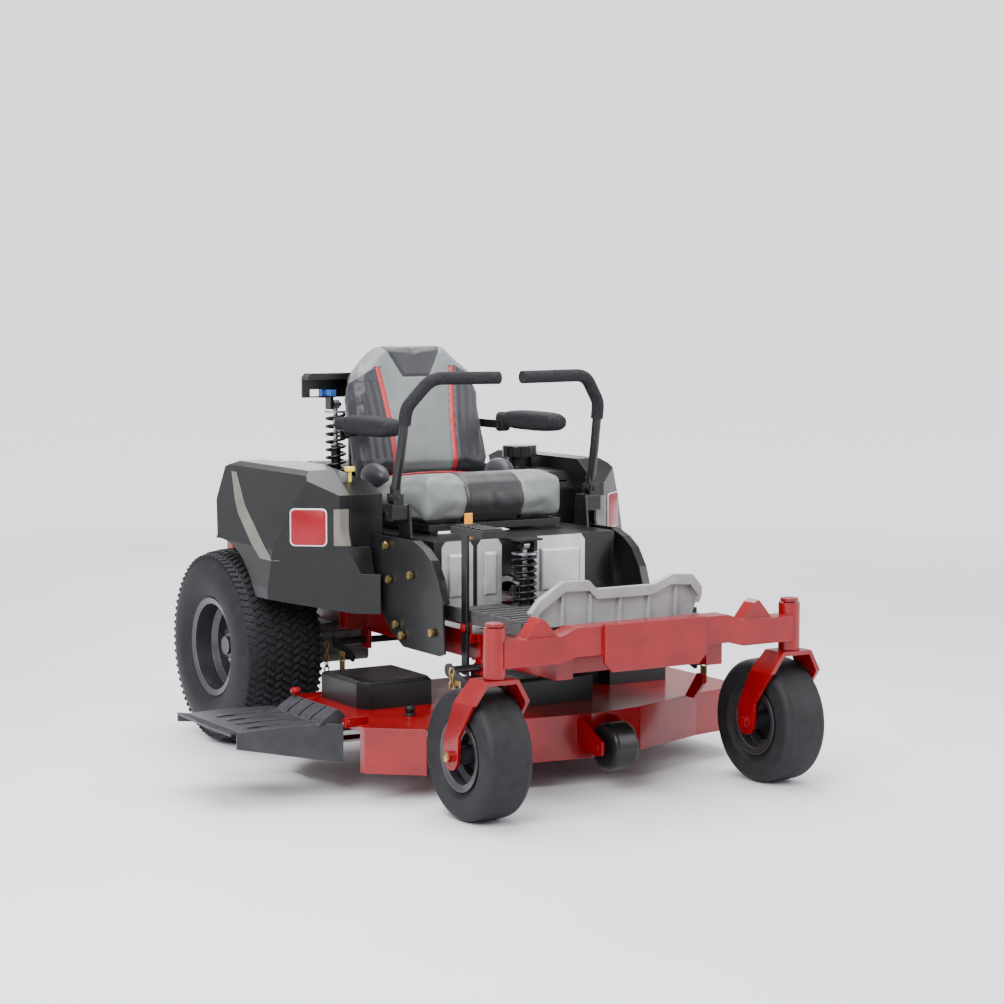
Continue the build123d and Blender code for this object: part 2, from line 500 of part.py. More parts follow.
def platform():
    """Floor, toe board, footwell wall, seat base with its side arms and shock bracket."""
    half = FLOOR_W / 2
    floor = box(-half, half, TOE_Y, FLOOR_REAR, FLOOR_Z - 5, FLOOR_Z)
    for k in range(9):
        y = TOE_Y + 60 + 38 * k
        floor += box(-half + 24, half - 24, y, y + 14, FLOOR_Z, FLOOR_Z + 3)
    floor -= box(FRONT_SHOCK_X - 48, FRONT_SHOCK_X + 48, FRONT_SHOCK_Y - 48, FLOOR_REAR + 1, 400, 500)
    for side in (-1, 1):
        floor += box(side * half - 3, side * half + 3, TOE_Y + 30, FLOOR_REAR, FLOOR_Z - 22, FLOOR_Z + 14)
        tube = rod("X", (side * 110, PIVOT_Y, PIVOT_Z), PIVOT_R + 7, 60)
        web = box(side * 110 - 30, side * 110 + 30, PIVOT_Y, TOE_Y + 22, PIVOT_Z + 3, FLOOR_Z)
        floor += tube + web
        floor -= rod("X", (side * 110, PIVOT_Y, PIVOT_Z), PIVOT_R + RUN, 140)
    node("floor_pan", floor)
    sheet = prism("Y", TOE, TOE_Y - 5, TOE_Y)
    rim_band = prism("Y", TOE, TOE_Y - 20, TOE_Y - 5)
    lower = [(x * 0.97 - 1, z - 26) for x, z in TOE[:10]]
    lower += [(400, 440), (-400, 440)]
    band = rim_band - prism("Y", lower, TOE_Y - 30, TOE_Y)
    band -= box(-400, 400, TOE_Y - 40, TOE_Y, 400, 478)
    toe = sheet + band
    for x in (-175, -90, 0, 90, 175):
        toe += box(x - 4, x + 4, TOE_Y - 12, TOE_Y - 4, 456, 530)
    node("toe_board", toe)
    panels = []
    for x0, x1 in ((-266, -170), (-156, -80), (24, 189)):
        sheet = prism("Y", [(x0, FLOOR_Z), (x0, WALL_TOP + 14), (x0 + 12, WALL_TOP + 30), (x1 - 12, WALL_TOP + 30),
                            (x1, WALL_TOP + 14), (x1, FLOOR_Z)], FLOOR_REAR - 4, FLOOR_REAR)
        rib = box(x0 + 18, x1 - 18, FLOOR_REAR - 12, FLOOR_REAR - 3, FLOOR_Z + 26, WALL_TOP - 4)
        rib = rounded(rib, 7, rib.faces().sort_by(Axis.Y)[0].edges())
        panels.append(sheet + rib)
    node("footwell_panels", *panels)
    base = []
    for side in (-1, 1):
        low, high = sorted((side * ARM_X, side * (ARM_X + PLATE)))
        arm = prism("X", [(FLOOR_REAR, FLOOR_Z - 20), (-50, FLOOR_Z - 20), (20, 560), (650, 600), (650, BASE_TOP),
                          (FLOOR_REAR, BASE_TOP)], low, high)
        arm += prism("X", [(15, BASE_TOP - 2), (25, 722), (75, 722), (85, BASE_TOP - 2)], low, high)
        arm += rod("X", (side * (ARM_X + PLATE + 22), LEVER_Y, HUB_Z), 8, 46)
        base.append(arm)
        low, high = sorted((side * FLOOR_W / 2, side * ARM_X))
        base.append(box(low + (3 if side > 0 else 0), high - (3 if side < 0 else 0), FLOOR_REAR - 34, FLOOR_REAR,
                        FLOOR_Z - 18, FLOOR_Z - 8))
    top = box(-ARM_X, ARM_X, FLOOR_REAR, 650, BASE_TOP - PLATE, BASE_TOP)
    top -= box(-180, 180, 60, 400, 600, 700)
    top -= box(SHOCK_X - 52, SHOCK_X + 50, SHOCK_Y - 50, 700, 600, 700)
    clevis = box(FRONT_SHOCK_X + 20, FRONT_SHOCK_X + 30, FRONT_SHOCK_Y - 18, FLOOR_REAR + 2,
                 FRONT_SHOCK_TOP_Z - 16, BASE_TOP)
    clevis += rod("X", (FRONT_SHOCK_X + 2, FRONT_SHOCK_Y, FRONT_SHOCK_TOP_Z), SHOCK_PIN_R, 44)
    top += clevis
    top += box(FRONT_SHOCK_X - 40, FRONT_SHOCK_X + 40, FRONT_SHOCK_Y - 30, FLOOR_REAR, BASE_TOP - PLATE, BASE_TOP)
    base.append(top)
    wall_back = box(-ARM_X, -90, FLOOR_REAR, FLOOR_REAR + 3, FLOOR_Z - 20, BASE_TOP - PLATE)
    base.append(wall_back)
    base.append(box(36, ARM_X, FLOOR_REAR, FLOOR_REAR + 3, FLOOR_Z - 20, BASE_TOP - PLATE))
    upright = box(-150, 60, 640, 650, BASE_TOP, 1059)
    upright += prism("Y", [(-307, 987), (-307, 1048), (-296, 1059), (60, 1059), (60, 987)], 632, 640)
    upright += prism("Y", [(-307, 1040), (-307, 1048), (-296, 1059), (60, 1059), (60, 1040)], 596, 632)
    upright -= box(-283, -208, 590, 660, 991, 1011)
    upright += box(SHOCK_X - 24, SHOCK_X - 14, SHOCK_Y - 16, 640, SHOCK_TOP_Z - 14, 990)
    upright += rod("X", (SHOCK_X - 2, SHOCK_Y, SHOCK_TOP_Z), SHOCK_PIN_R, 38)
    base.append(upright)
    node("seat_base", *base)
    knob = box(-232, -214, 600, 631.7, 992, 1010) + box(-232, -214, 631, 640.3, 996, 1006)
    knob += box(-240, -206, 640.3, 662, 985, 1017)
    node("shock_adjuster", knob)


def coil(x, y, low, high, radius, wire, turns):
    """A round-wire compression spring standing on Z."""
    pitch = (high - low - wire) / turns
    path = Pos(x, y, low + wire / 2) * Helix(pitch=pitch, height=pitch * turns, radius=radius)
    start = Plane(origin=path @ 0, z_dir=path % 0)
    return sweep(start * Circle(wire / 2), path=path, is_frenet=True)


def shocks():
    """The two coil-over dampers: body, rod and spring."""
    for name, x, y, low, high, out, wire, turns in (
            ("front", FRONT_SHOCK_X, FRONT_SHOCK_Y, FRONT_SHOCK_LOW_Z, FRONT_SHOCK_TOP_Z, 35, 8.5, 7),
            ("rear", SHOCK_X, SHOCK_Y, SHOCK_LOW_Z, SHOCK_TOP_Z, 31, 8, 9)):
        mid = low + (high - low) * 0.55
        seat_low = low + 26
        seat_high = high - 24
        body = rod("Z", (x, y, (low + mid) / 2 + 5), 15, mid - low - 10)
        body += rod("X", (x, y, low), 14, 18) + rod("Z", (x, y, seat_low - 3), out + 1, 6)
        body -= rod("Z", (x, y, mid), 7 + RUN, (mid - low) * 1.6)
        body -= rod("X", (x, y, low), SHOCK_PIN_R + RUN, 60)
        node(f"{name}_damper", body)
        shaft = rod("Z", (x, y, (low + (mid - low) * 0.75 + high) / 2), 7, high - low - (mid - low) * 0.75)
        shaft += rod("X", (x, y, high), 13, 18) + rod("Z", (x, y, seat_high + 3), out + 1, 6)
        shaft -= rod("X", (x, y, high), SHOCK_PIN_R + SHOCK_PLAY, 60)
        node(f"{name}_damper_rod", shaft)
        node(f"{name}_spring", coil(x, y, seat_low + 0.3, seat_high - 0.3, out - wire / 2, wire, turns))


# ---------------------------------------------------------------- seat
def back_frame():
    """The local frame of the backrest: x across, y through it, z up along it."""
    return Pos(0, BACK_BASE_Y, BACK_BASE_Z) * Rot(-BACK_LEAN, 0, 0)


def seat():
    """Pan on two runners, cushion, backrest, armrests and the slide latch."""
    half = SEAT_W / 2
    pan = box(-half + 12, half - 12, SEAT_FRONT + 8, SEAT_REAR + 12, 640, CUSHION_Z - SEAT_GAP)
    for side in (-1, 1):
        pan += box(side * 190 - 12, side * 190 + 12, SEAT_FRONT + 20, SEAT_REAR, BASE_TOP + SEAT_GAP, 641)
    lean = back_frame()
    support = lean * box(-130, 130, BACK_THICK + SEAT_GAP, BACK_THICK + 8, -60, 170)
    tail = box(-130, 130, SEAT_REAR, SEAT_REAR + 88, 640, 652)
    tail += lean * box(-130, 130, BACK_THICK - 4, BACK_THICK + 8, -140, -50)
    pan += tail
    pan += support
    for side in (-1, 1):
        inner, outer = sorted((side * 128, side * (BACK_W / 2 + 5)))
        pan += lean * box(inner, outer, BACK_THICK + SEAT_GAP, BACK_THICK + 8, 100, 150)
    for side in (-1, 1):
        inner, outer = sorted((side * (BACK_W / 2 + 3), side * (BACK_W / 2 + 9)))
        pan += box(inner, outer, 415, 575, ARMREST_PIVOT_Z - 12, ARMREST_PIVOT_Z + 12)
        pan += rod("X", (side * (BACK_W / 2 + 20), ARMREST_PIVOT_Y, ARMREST_PIVOT_Z), 7, 28)
    node("seat_pan", pan)
    cushion = prism("X", [(SEAT_FRONT, CUSHION_Z), (SEAT_FRONT, CUSHION_Z + CUSHION_H - 6),
                          (SEAT_FRONT + 90, CUSHION_Z + CUSHION_H), (SEAT_REAR, CUSHION_Z + 96),
                          (SEAT_REAR, CUSHION_Z)], -half, half)
    cushion = rounded(cushion, 28, cushion.edges().filter_by(Axis.X).sort_by(Axis.Y)[:2])
    cushion = rounded(cushion, 12, cushion.edges().filter_by(Axis.Z))
    node("seat_cushion", cushion)
    hw = BACK_W / 2
    outline = [(-hw + 18, 0), (-hw, 40), (-hw, 225), (-hw + 24, 290), (-110, BACK_LENGTH), (110, BACK_LENGTH),
               (hw - 24, 290), (hw, 225), (hw, 40), (hw - 18, 0)]
    back = prism("Y", outline, 0, BACK_THICK)
    back = rounded(back, 14, back.faces().sort_by(Axis.Y)[0].edges())
    node("seat_back", lean * back)
    for name, side in (("right", -1), ("left", 1)):
        x = side * ARMREST_X
        top = 940
        arm = box(x - 30, x + 30, 143, 446, 903, top)
        arm = rounded(arm, 15, arm.edges().filter_by(Axis.Y))
        arm = rounded(arm, 12, arm.edges().filter_by(Axis.X).sort_by(Axis.Y)[:2])
        arm += rod("X", (x - side * 16, ARMREST_PIVOT_Y, ARMREST_PIVOT_Z), 22, 28)
        arm -= rod("X", (x - side * 10, ARMREST_PIVOT_Y, ARMREST_PIVOT_Z), 7 + RUN, 60)
        node(f"armrest_{name}", arm)
    latch = box(-122, -98, 8, 60, BASE_TOP + SEAT_GAP, 637) + box(-122, -98, 8, 13, 633, 690)
    latch = rounded(latch, 1.5, latch.faces().sort_by(Axis.Y)[0].edges())
    node("seat_latch", latch + rod("X", (-110, 60, BASE_TOP + 3), 2.6, 24))


def levers():
    """Lap bars: hub that swings fore and aft, lever that swings out, foam grip."""
    x = -LEVER_X
    hub = box(x - 20, -ARM_X - PLATE - 0.5, LEVER_Y - 22, LEVER_Y + 22, HUB_Z - 24, HUB_Z + 22)
    hub = rounded(hub, 6, hub.edges().filter_by(Axis.X))
    for y in (LEVER_Y - 22, LEVER_Y + 12):
        hub += box(x - 14, x + 14, y, y + 10, HUB_Z + 20, LEVER_PIVOT_Z + 12)
    hub += rod("Y", (x, LEVER_Y, LEVER_PIVOT_Z), 6, 56)
    hub -= rod("X", (x, LEVER_Y, HUB_Z), 8 + RUN, 120)
    top = LEVER_Y - 80
    path = [(x, LEVER_Y, LEVER_PIVOT_Z + 26), (x + 3, LEVER_Y - 22, 850), (x + 8, LEVER_Y - 50, 985),
            (x + 70, LEVER_Y - 78, 1064), (-37, top, 1062)]
    bends = (60, 60, 60)
    bar = pipe(path[:4] + [(-42, top, 1062)], bends, LEVER_R)
    foot = rod("Y", (x, LEVER_Y, LEVER_PIVOT_Z), 15, 23)
    foot += box(x - 11, x + 11, LEVER_Y - 10.5, LEVER_Y + 10.5, LEVER_PIVOT_Z, LEVER_PIVOT_Z + 34)
    bar = bar + foot - rod("Y", (x, LEVER_Y, LEVER_PIVOT_Z), 6 + RUN, 80)
    cut = Plane(origin=(x + 6, LEVER_Y - 40, GRIP_START), z_dir=(0.04, -0.2, 1))
    grip = pipe(path, bends, GRIP_R)
    grip -= pipe(path[:4] + [(-41.7, top, 1062)], bends, LEVER_R + RUN)
    grip = split(grip, bisect_by=cut, keep=Keep.TOP)
    for kind, shape in (("lever_hub", hub), ("lever", bar), ("grip", grip)):
        node(f"{kind}_right", shape)
        node(f"{kind}_left", mirror(shape, Plane.YZ))


# ---------------------------------------------------------------- cutting deck
DECK = [(-DECK_RIGHT, -309), (-482, -414), (-420, -330), (-172, -416), (0, -440), (172, -416), (420, -328),
        (560, -300), (DECK_LEFT, -200), (DECK_LEFT, 100), (540, 225), (200, DECK_REAR), (-200, DECK_REAR),
        (-540, 225), (-DECK_RIGHT, 150)]


def deck():
    """The stamped deck with spindle housings, covers, chute, blades and roller."""
    shell = prism("Z", DECK, DECK_Z, DECK_TOP)
    inner = []
    centre_y = -80.0
    for x, y in DECK:
        reach = hypot(x, y - centre_y)
        inner.append((x - x / reach * DECK_WALL * 1.4, y - (y - centre_y) / reach * DECK_WALL * 1.4))
    shell -= prism("Z", inner, DECK_Z - 1, DECK_TOP - DECK_WALL)
    shell -= box(-DECK_RIGHT - 20, -DECK_RIGHT + 24, -285, 15, DECK_Z + 14, DECK_TOP - 14)
    shell -= box(-DECK_RIGHT - 20, -DECK_RIGHT + 24, -285, 15, DECK_Z - 14, DECK_TOP - 14)
    cutters = (("right", -CUTTER_X, CUTTER_SIDE_Y), ("centre", 0, CUTTER_MID_Y), ("left", CUTTER_X, CUTTER_SIDE_Y))
    for name, x, y in cutters:
        shell += rod("Z", (x, y, DECK_TOP + 14), 44, 30)
        shell += rod("Z", (x, y, DECK_TOP - 16), 34, 34)
        shell -= rod("Z", (x, y, DECK_TOP), SPINDLE_SHAFT_R + RUN, 200)
    for x in (-LIFT_X, LIFT_X):
        front_y = LIFT_FRONT_Y - LIFT_ARM * cos(radians(LIFT_ANGLE))
        shell += prism("X", [(front_y - 14, 262), (front_y + 14, 262), (front_y + 70, DECK_TOP - 3),
                             (front_y + 30, DECK_TOP - 3), (front_y - 14, 236)], x - 5, x + 5)
        rear_y = LIFT_REAR_Y - LIFT_ARM * cos(radians(LIFT_ANGLE))
        shell += prism("X", [(rear_y - 14, 246), (rear_y + 14, 246), (rear_y + 14, 220), (rear_y - 30, DECK_TOP - 3),
                             (rear_y - 80, DECK_TOP - 3)], x - 5, x + 5)
    for x in (-38, 68):
        arm = prism("X", [(-410, 120), (-410, DECK_TOP - 8), (-455, DECK_TOP - 8), (-552, 138), (-552, 104),
                          (-520, 98)], x - 4, x + 4)
        shell += arm
    shell += rod("X", (15, -530, 121), 8, 118)
    hinge_y = (-270.0, 40.0)
    for y in hinge_y:
        shell += box(-DECK_RIGHT - 36, -DECK_RIGHT + 30, y - 5, y + 5, DECK_TOP - 3, CHUTE_PIVOT_Z + 10)
    shell += rod("Y", (CHUTE_PIVOT_X, -115, CHUTE_PIVOT_Z), 6, 340)
    node("deck_shell", shell)

    covers = []
    for x, y, wx, y0, y1 in ((-CUTTER_X + 12, 0, 96, -95, 150), (0, 0, 120, -262, -40), (CUTTER_X - 12, 0, 96, -95, 150)):
        outline = [(x - wx, y0), (x + wx, y0), (x + wx + 14, y0 + 40), (x + wx + 14, y1), (x - wx - 14, y1),
                   (x - wx - 14, y0 + 40)]
        inner = [(a + (3 if a < x else -3), b + (3 if b < (y0 + y1) / 2 else -3)) for a, b in outline]
        cover = prism("Z", outline, DECK_TOP, COVER_TOP)
        cover = rounded(cover, 10, cover.faces().sort_by(Axis.Z)[-1].edges())
        cover -= prism("Z", inner, DECK_TOP - 1, COVER_TOP - 3)
        for k in range(4):
            cover -= box(x - wx + 20, x + wx - 20, y0 + 60 + 22 * k, y0 + 66 + 22 * k, COVER_TOP - 1.2, COVER_TOP + 1)
        covers.append(cover)
    node("deck_covers", *covers)

    top = prism("Z", [(-640, -262), (-905, -190), (-938, -226), (-940, -100), (-924, 140), (-700, 64), (-668, 28),
                      (-640, 28)], 100, 240)
    skin = prism("Y", [(-622, CHUTE_PIVOT_Z - 9), (-690, 202), (-800, 198), (-900, 190), (-945, 196), (-945, 190),
                       (-900, 184), (-800, 192), (-690, 196), (-622, CHUTE_PIVOT_Z - 15)], -300, 200)
    chute = top & skin
    front = prism("Z", [(-640, -262), (-905, -190), (-903, -184), (-640, -254)], 96, 199)
    slope = prism("Y", [(-600, 90), (-600, 210), (-690, 202), (-800, 198), (-900, 190), (-920, 150)], -300, 0)
    chute += front & slope
    rear = prism("Z", [(-668, 28), (-700, 64), (-924, 140), (-922, 134), (-700, 58), (-672, 22)], 150, 199)
    chute += rear & prism("Y", [(-600, 150), (-600, 205), (-690, 202), (-800, 198), (-930, 186), (-930, 170)], 0, 200)
    for k in range(4):
        ridge = prism("Z", [(-660, -228 + 62 * k), (-915, -150 + 62 * k), (-915, -138 + 62 * k), (-660, -214 + 62 * k)],
                      197, 204)
        chute += ridge & prism("Y", [(-640, 190), (-690, 206), (-800, 202), (-900, 194), (-930, 190), (-930, 180),
                                     (-640, 180)], -300, 200)
    for k in range(4):
        y = -250 + 66 * k
        chute += prism("Y", [(-706, 196), (-690, 214), (-652, 236), (-640, 232), (-628, 217), (-628, 211),
                             (-648, 190)], y, y + 56)
    for y in (-200, -60):
        chute += rod("Y", (CHUTE_PIVOT_X, y, CHUTE_PIVOT_Z), 11, 60)
    chute -= rod("Y", (CHUTE_PIVOT_X, -115, CHUTE_PIVOT_Z), 6 + RUN, 600)
    node("chute", chute)

    for name, x, y in cutters:
        blade = box(-BLADE_R, BLADE_R, -31, 31, BLADE_Z, BLADE_Z + 6)
        for end in (-1, 1):
            tip = prism("X", [(end * -31, BLADE_Z + 6), (end * -31, BLADE_Z + 4), (end * -10, BLADE_Z + 5),
                              (end * -31, BLADE_Z + 24), (end * -36, BLADE_Z + 24)],
                        *sorted((end * (BLADE_R - 70), end * BLADE_R)))
            blade += tip
        blade += rod("Z", (0, 0, BLADE_Z + 9), 30, 14)
        blade += rod("Z", (0, 0, BLADE_Z - 6), 14, 12)
        blade += rod("Z", (0, 0, (BLADE_Z + 250) / 2), SPINDLE_SHAFT_R, 250 - BLADE_Z)
        pulley = rod("Z", (0, 0, 236), 62, 18)
        pulley -= rod("Z", (0, 0, 236), 66, 10) - rod("Z", (0, 0, 236), 52, 10)
        node(f"blade_spindle_{name}", Pos(x, y, 0) * (blade + pulley))
    roller = rod("X", (15, -530, 121), 62.5, 76)
    roller = rounded(roller, 14, roller.edges()) - rod("X", (15, -530, 121), 8 + RUN, 120)
    node("anti_scalp_roller", roller)


def lift():
    """Foot pedal, the two lift shafts with their arms, and the deck's hanging chains."""
    x = PEDAL_X
    pedal = box(x - 4, x + 4, PEDAL_Y - 14, PEDAL_Y + 14, 296, 664) + rod("X", (x, PEDAL_Y, PEDAL_Z), 20, 8)
    pedal += box(x - 4, x + 70, -360, -198, 664, 682)
    pedal = pedal - rod("X", (x, PEDAL_Y, PEDAL_Z), 8 + RUN, 40)
    for k in range(6):
        pedal += box(x + 2, x + 64, -350 + 26 * k, -340 + 26 * k, 682, 686)
    node("lift_pedal", pedal)
    tip_y = LIFT_ARM * cos(radians(LIFT_ANGLE))
    tip_z = LIFT_ARM * sin(radians(LIFT_ANGLE))
    chains = []
    for name, y, z in (("front", LIFT_FRONT_Y, LIFT_FRONT_Z), ("rear", LIFT_REAR_Y, LIFT_REAR_Z)):
        shaft = rod("X", (0, y, z), LIFT_R, 2 * LIFT_X - 40)
        bottom = 250 if name == "front" else 234
        for side in (-1, 1):
            arm = prism("X", [(0, -12), (0, 12), (-LIFT_ARM - 10, 10), (-LIFT_ARM - 10, -10)],
                        *sorted((side * (LIFT_X - 20), side * (LIFT_X - 28))))
            arm = Pos(0, y, z) * Rot(LIFT_ANGLE, 0, 0) * arm
            shaft += arm + rod("X", (side * (LIFT_X - 24), y, z), 18, 8)
            pin_y, pin_z = y - tip_y, z - tip_z
            shaft += rod("X", (side * (LIFT_X - 9), pin_y, pin_z), 5, 36)
            link = box(side * (LIFT_X + 5), side * (LIFT_X + 9), pin_y - 13, pin_y + 13, bottom - 12,
                       pin_z + 18)
            link -= box(side * LIFT_X, side * LIFT_X + side * 12, pin_y - 10.6, pin_y + 10.6, pin_z - 8, pin_z + 5 + SEAT_GAP)
            chains.append(link)
        node(f"lift_shaft_{name}", shaft)
    node("deck_hangers", *chains)


# ---------------------------------------------------------------- build everything
def build():
    """Makes every node, moves the whole to its origin and writes the files."""
    for make in (casters, drive_wheels, front_beam, main_frame, side_plates, pods, console_and_tank, engine,
                 platform, shocks, seat, levers, deck, lift):
        make()
    boxes = [solid.bounding_box() for solids in NODES.values() for solid in solids]
    low = [min(b.min.X for b in boxes), min(b.min.Y for b in boxes), min(b.min.Z for b in boxes)]
    high = [max(b.max.X for b in boxes), max(b.max.Y for b in boxes)]
    shift = (-(low[0] + high[0]) / 2, -(low[1] + high[1]) / 2, -low[2])
    for name, solids in NODES.items():
        shape = Compound([Pos(*shift) * piece for solid in solids for piece in solid.solids()])
        export_step(shape, f"parts/{name}.step")
    print(len(NODES), "nodes, moved by", [round(v, 3) for v in shift])
    return shift


SHIFT = build()
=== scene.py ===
# %% [markdown]
# # A zero-turn mower, finished in Blender
# The machine's hard parts come from CAD, already in place and at real size. This lesson
# gives them paint, rubber, vinyl and metal, and adds what CAD left plain: the padded
# seat, the turf tread, the chains, the trim and the small hardware.

# %% Load the machine
import math

import bpy
from mathutils import Matrix, Vector


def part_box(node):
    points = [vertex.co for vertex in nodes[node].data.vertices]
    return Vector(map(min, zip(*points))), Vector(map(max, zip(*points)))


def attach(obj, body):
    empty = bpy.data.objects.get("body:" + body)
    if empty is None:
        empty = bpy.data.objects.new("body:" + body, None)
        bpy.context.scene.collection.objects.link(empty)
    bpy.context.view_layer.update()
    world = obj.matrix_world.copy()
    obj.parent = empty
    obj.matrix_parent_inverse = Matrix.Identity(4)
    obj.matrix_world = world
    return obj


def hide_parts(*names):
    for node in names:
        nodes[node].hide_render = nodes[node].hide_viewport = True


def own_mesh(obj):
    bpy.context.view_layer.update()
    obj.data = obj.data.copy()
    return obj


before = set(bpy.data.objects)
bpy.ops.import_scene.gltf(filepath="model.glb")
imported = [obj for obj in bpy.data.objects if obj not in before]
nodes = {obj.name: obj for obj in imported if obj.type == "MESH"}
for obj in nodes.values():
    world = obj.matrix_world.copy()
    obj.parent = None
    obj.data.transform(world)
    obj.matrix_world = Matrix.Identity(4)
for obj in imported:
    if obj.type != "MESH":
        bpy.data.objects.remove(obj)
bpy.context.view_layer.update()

# %% [markdown]
# Places are easier to think about from the machine's own middle: the centre plane, the
# point midway between the axles, and the ground. Both come from the wheels' boxes, so
# the lesson follows the machine if its size changes. Lengths are written in millimetres.

# %% The machine's middle and a few small helpers
MM = 0.001


def middle(node):
    """The centre of a node's box."""
    low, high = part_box(node)
    return (low + high) / 2


front_axle = (middle("caster_rim_right") + middle("caster_rim_left")) / 2
rear_axle = (middle("drive_rim_right") + middle("drive_rim_left")) / 2
MIDDLE = Vector((front_axle.x, (front_axle.y + rear_axle.y) / 2, 0))


def at(x, y, z):
    """A place in millimetres from the machine's middle, in the scene's metres."""
    return MIDDLE + Vector((x, y, z)) * MM


def deselect():
    """Leaves nothing selected, so that an operator acts only on what is chosen next."""
    if bpy.context.mode != "OBJECT":
        bpy.ops.object.mode_set(mode="OBJECT")
    bpy.ops.object.select_all(action="DESELECT")


def choose(*objects):
    """Selects these objects and makes the first one active."""
    deselect()
    for item in objects:
        item.select_set(True)
    bpy.context.view_layer.objects.active = objects[0]


def apply_modifiers(piece):
    """Bakes a piece's modifiers into its mesh, in order."""
    choose(piece)
    for modifier in list(piece.modifiers):
        bpy.ops.object.modifier_apply(modifier=modifier.name)


def settle(piece):
    """Moves a piece's place, turn and scale into its mesh."""
    choose(piece)
    bpy.ops.object.transform_apply(location=True, rotation=True, scale=True)


def finish(piece, name, material, body, smooth=35):
    """Names a piece, smooths it, paints it and hangs it on the body that it moves with."""
    settle(piece)
    piece.name = name
    if material is not None:
        piece.data.materials.clear()
        piece.data.materials.append(material)
    choose(piece)
    bpy.ops.object.shade_smooth_by_angle(angle=math.radians(smooth))
    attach(piece, body)
    return piece


def pick_faces(piece, wanted):
    """Enters edit mode with only the wanted faces of a piece selected."""
    choose(piece)
    bpy.ops.object.mode_set(mode="EDIT")
    bpy.ops.mesh.select_mode(type="FACE")
    bpy.ops.mesh.select_all(action="DESELECT")
    bpy.ops.object.mode_set(mode="OBJECT")
    for face in piece.data.polygons:
        face.select = wanted(face)
    bpy.ops.object.mode_set(mode="EDIT")


def bevelled(piece, width, segments=2, angle=30):
    """Rounds a piece's sharp edges by width millimetres."""
    bevel = piece.modifiers.new("edges", "BEVEL")
    bevel.width = width * MM
    bevel.segments = segments
    bevel.limit_method = "ANGLE"
    bevel.angle_limit = math.radians(angle)
    apply_modifiers(piece)
    return piece


print("middle of the machine", [round(v, 3) for v in MIDDLE])

# %% [markdown]
# The view is a long lens from the machine's front right, a little above seat height,
# which keeps the upright lines nearly parallel. Soft light comes from two large panels
# and a bright room, over a pale floor.

# %% Camera, floor and light
EYE = at(-3323, -5481, 1301)
HEADING = 31.16
DOWN = 5.21
camera_data = bpy.data.cameras.new("view")
camera_data.lens = 83.4
camera_data.sensor_width = 36
camera = bpy.data.objects.new("view", camera_data)
camera.location = EYE
camera.rotation_euler = (math.radians(90 - DOWN), 0, math.radians(-HEADING))
bpy.context.scene.collection.objects.link(camera)
bpy.context.scene.camera = camera


def panel_light(name, place, target, size, power):
    """A square soft light that faces a target."""
    data = bpy.data.lights.new(name, "AREA")
    data.size = size
    data.energy = power
    lamp = bpy.data.objects.new(name, data)
    lamp.location = place
    lamp.rotation_euler = (target - place).to_track_quat("-Z", "Y").to_euler()
    bpy.context.scene.collection.objects.link(lamp)


aim = at(0, 0, 500)
panel_light("key", at(-3600, -2600, 3600), aim, 3.2, 460)
panel_light("fill", at(3800, -3400, 2600), aim, 3.5, 190)
panel_light("top", at(0, 600, 4300), aim, 3.5, 330)
panel_light("back", at(1500, 4200, 2600), aim, 2.5, 80)
world = bpy.data.worlds.new("room")
bpy.context.scene.world = world
world.use_nodes = True
world_tree = world.node_tree
room = world_tree.nodes["Background"]
room.inputs["Color"].default_value = (0.93, 0.93, 0.96, 1)
room.inputs["Strength"].default_value = 0.80
paper = world_tree.nodes.new("ShaderNodeBackground")
paper.inputs["Color"].default_value = (0.93, 0.93, 0.96, 1)
paper.inputs["Strength"].default_value = 1.9
path = world_tree.nodes.new("ShaderNodeLightPath")
either = world_tree.nodes.new("ShaderNodeMixShader")
world_tree.links.new(path.outputs["Is Camera Ray"], either.inputs[0])
world_tree.links.new(room.outputs[0], either.inputs[1])
world_tree.links.new(paper.outputs[0], either.inputs[2])
world_tree.links.new(either.outputs[0], world_tree.nodes["World Output"].inputs[0])
print("camera at", [round(v, 2) for v in EYE])

# %% [markdown]
# Every finish is a small network: what the surface is made of, a pattern at its real
# scale in millimetres, and the shader. One function adds a node with its values and
# links, so that each finish reads as a short recipe.

# %% Tools for making materials


def srgb(code):
    """An sRGB hex colour as the linear colour that a shader needs."""
    parts = [int(code[i:i + 2], 16) / 255 for i in (1, 3, 5)]
    return [p / 12.92 if p <= 0.04045 else ((p + 0.055) / 1.055) ** 2.4 for p in parts] + [1]


def add(tree, kind, values=None, links=None, **settings):
    """Adds a node; values fill its sockets and links feed them from (node, output)."""
    made = tree.nodes.new("ShaderNode" + kind)
    for key, value in settings.items():
        setattr(made, key, value)
    for key, value in (values or {}).items():
        made.inputs[key].default_value = value
    for key, (source, output) in (links or {}).items():
        tree.links.new(source.outputs[output], made.inputs[key])
    return made


def per_mm(size):
    """The texture scale whose features are about size millimetres across."""
    return 1000 / size


def start(name, **values):
    """A material with one principled shader, and the piece's own coordinates."""
    material = bpy.data.materials.new(name)
    material.use_nodes = True
    tree = material.node_tree
    tree.nodes.clear()
    shader = add(tree, "BsdfPrincipled", values={k.replace("_", " "): v for k, v in values.items()})
    add(tree, "OutputMaterial", links={"Surface": (shader, "BSDF")})
    place = add(tree, "TexCoord")
    return material, tree, shader, place


def two_tone(tree, source, output, dark, light, low=0.3, high=0.7):
    """Two colours spread over a pattern's range."""
    ramp = add(tree, "ValToRGB", links={"Fac": (source, output)})
    ramp.color_ramp.elements[0].position = low
    ramp.color_ramp.elements[0].color = srgb(dark)
    ramp.color_ramp.elements[1].position = high
    ramp.color_ramp.elements[1].color = srgb(light)
    return ramp


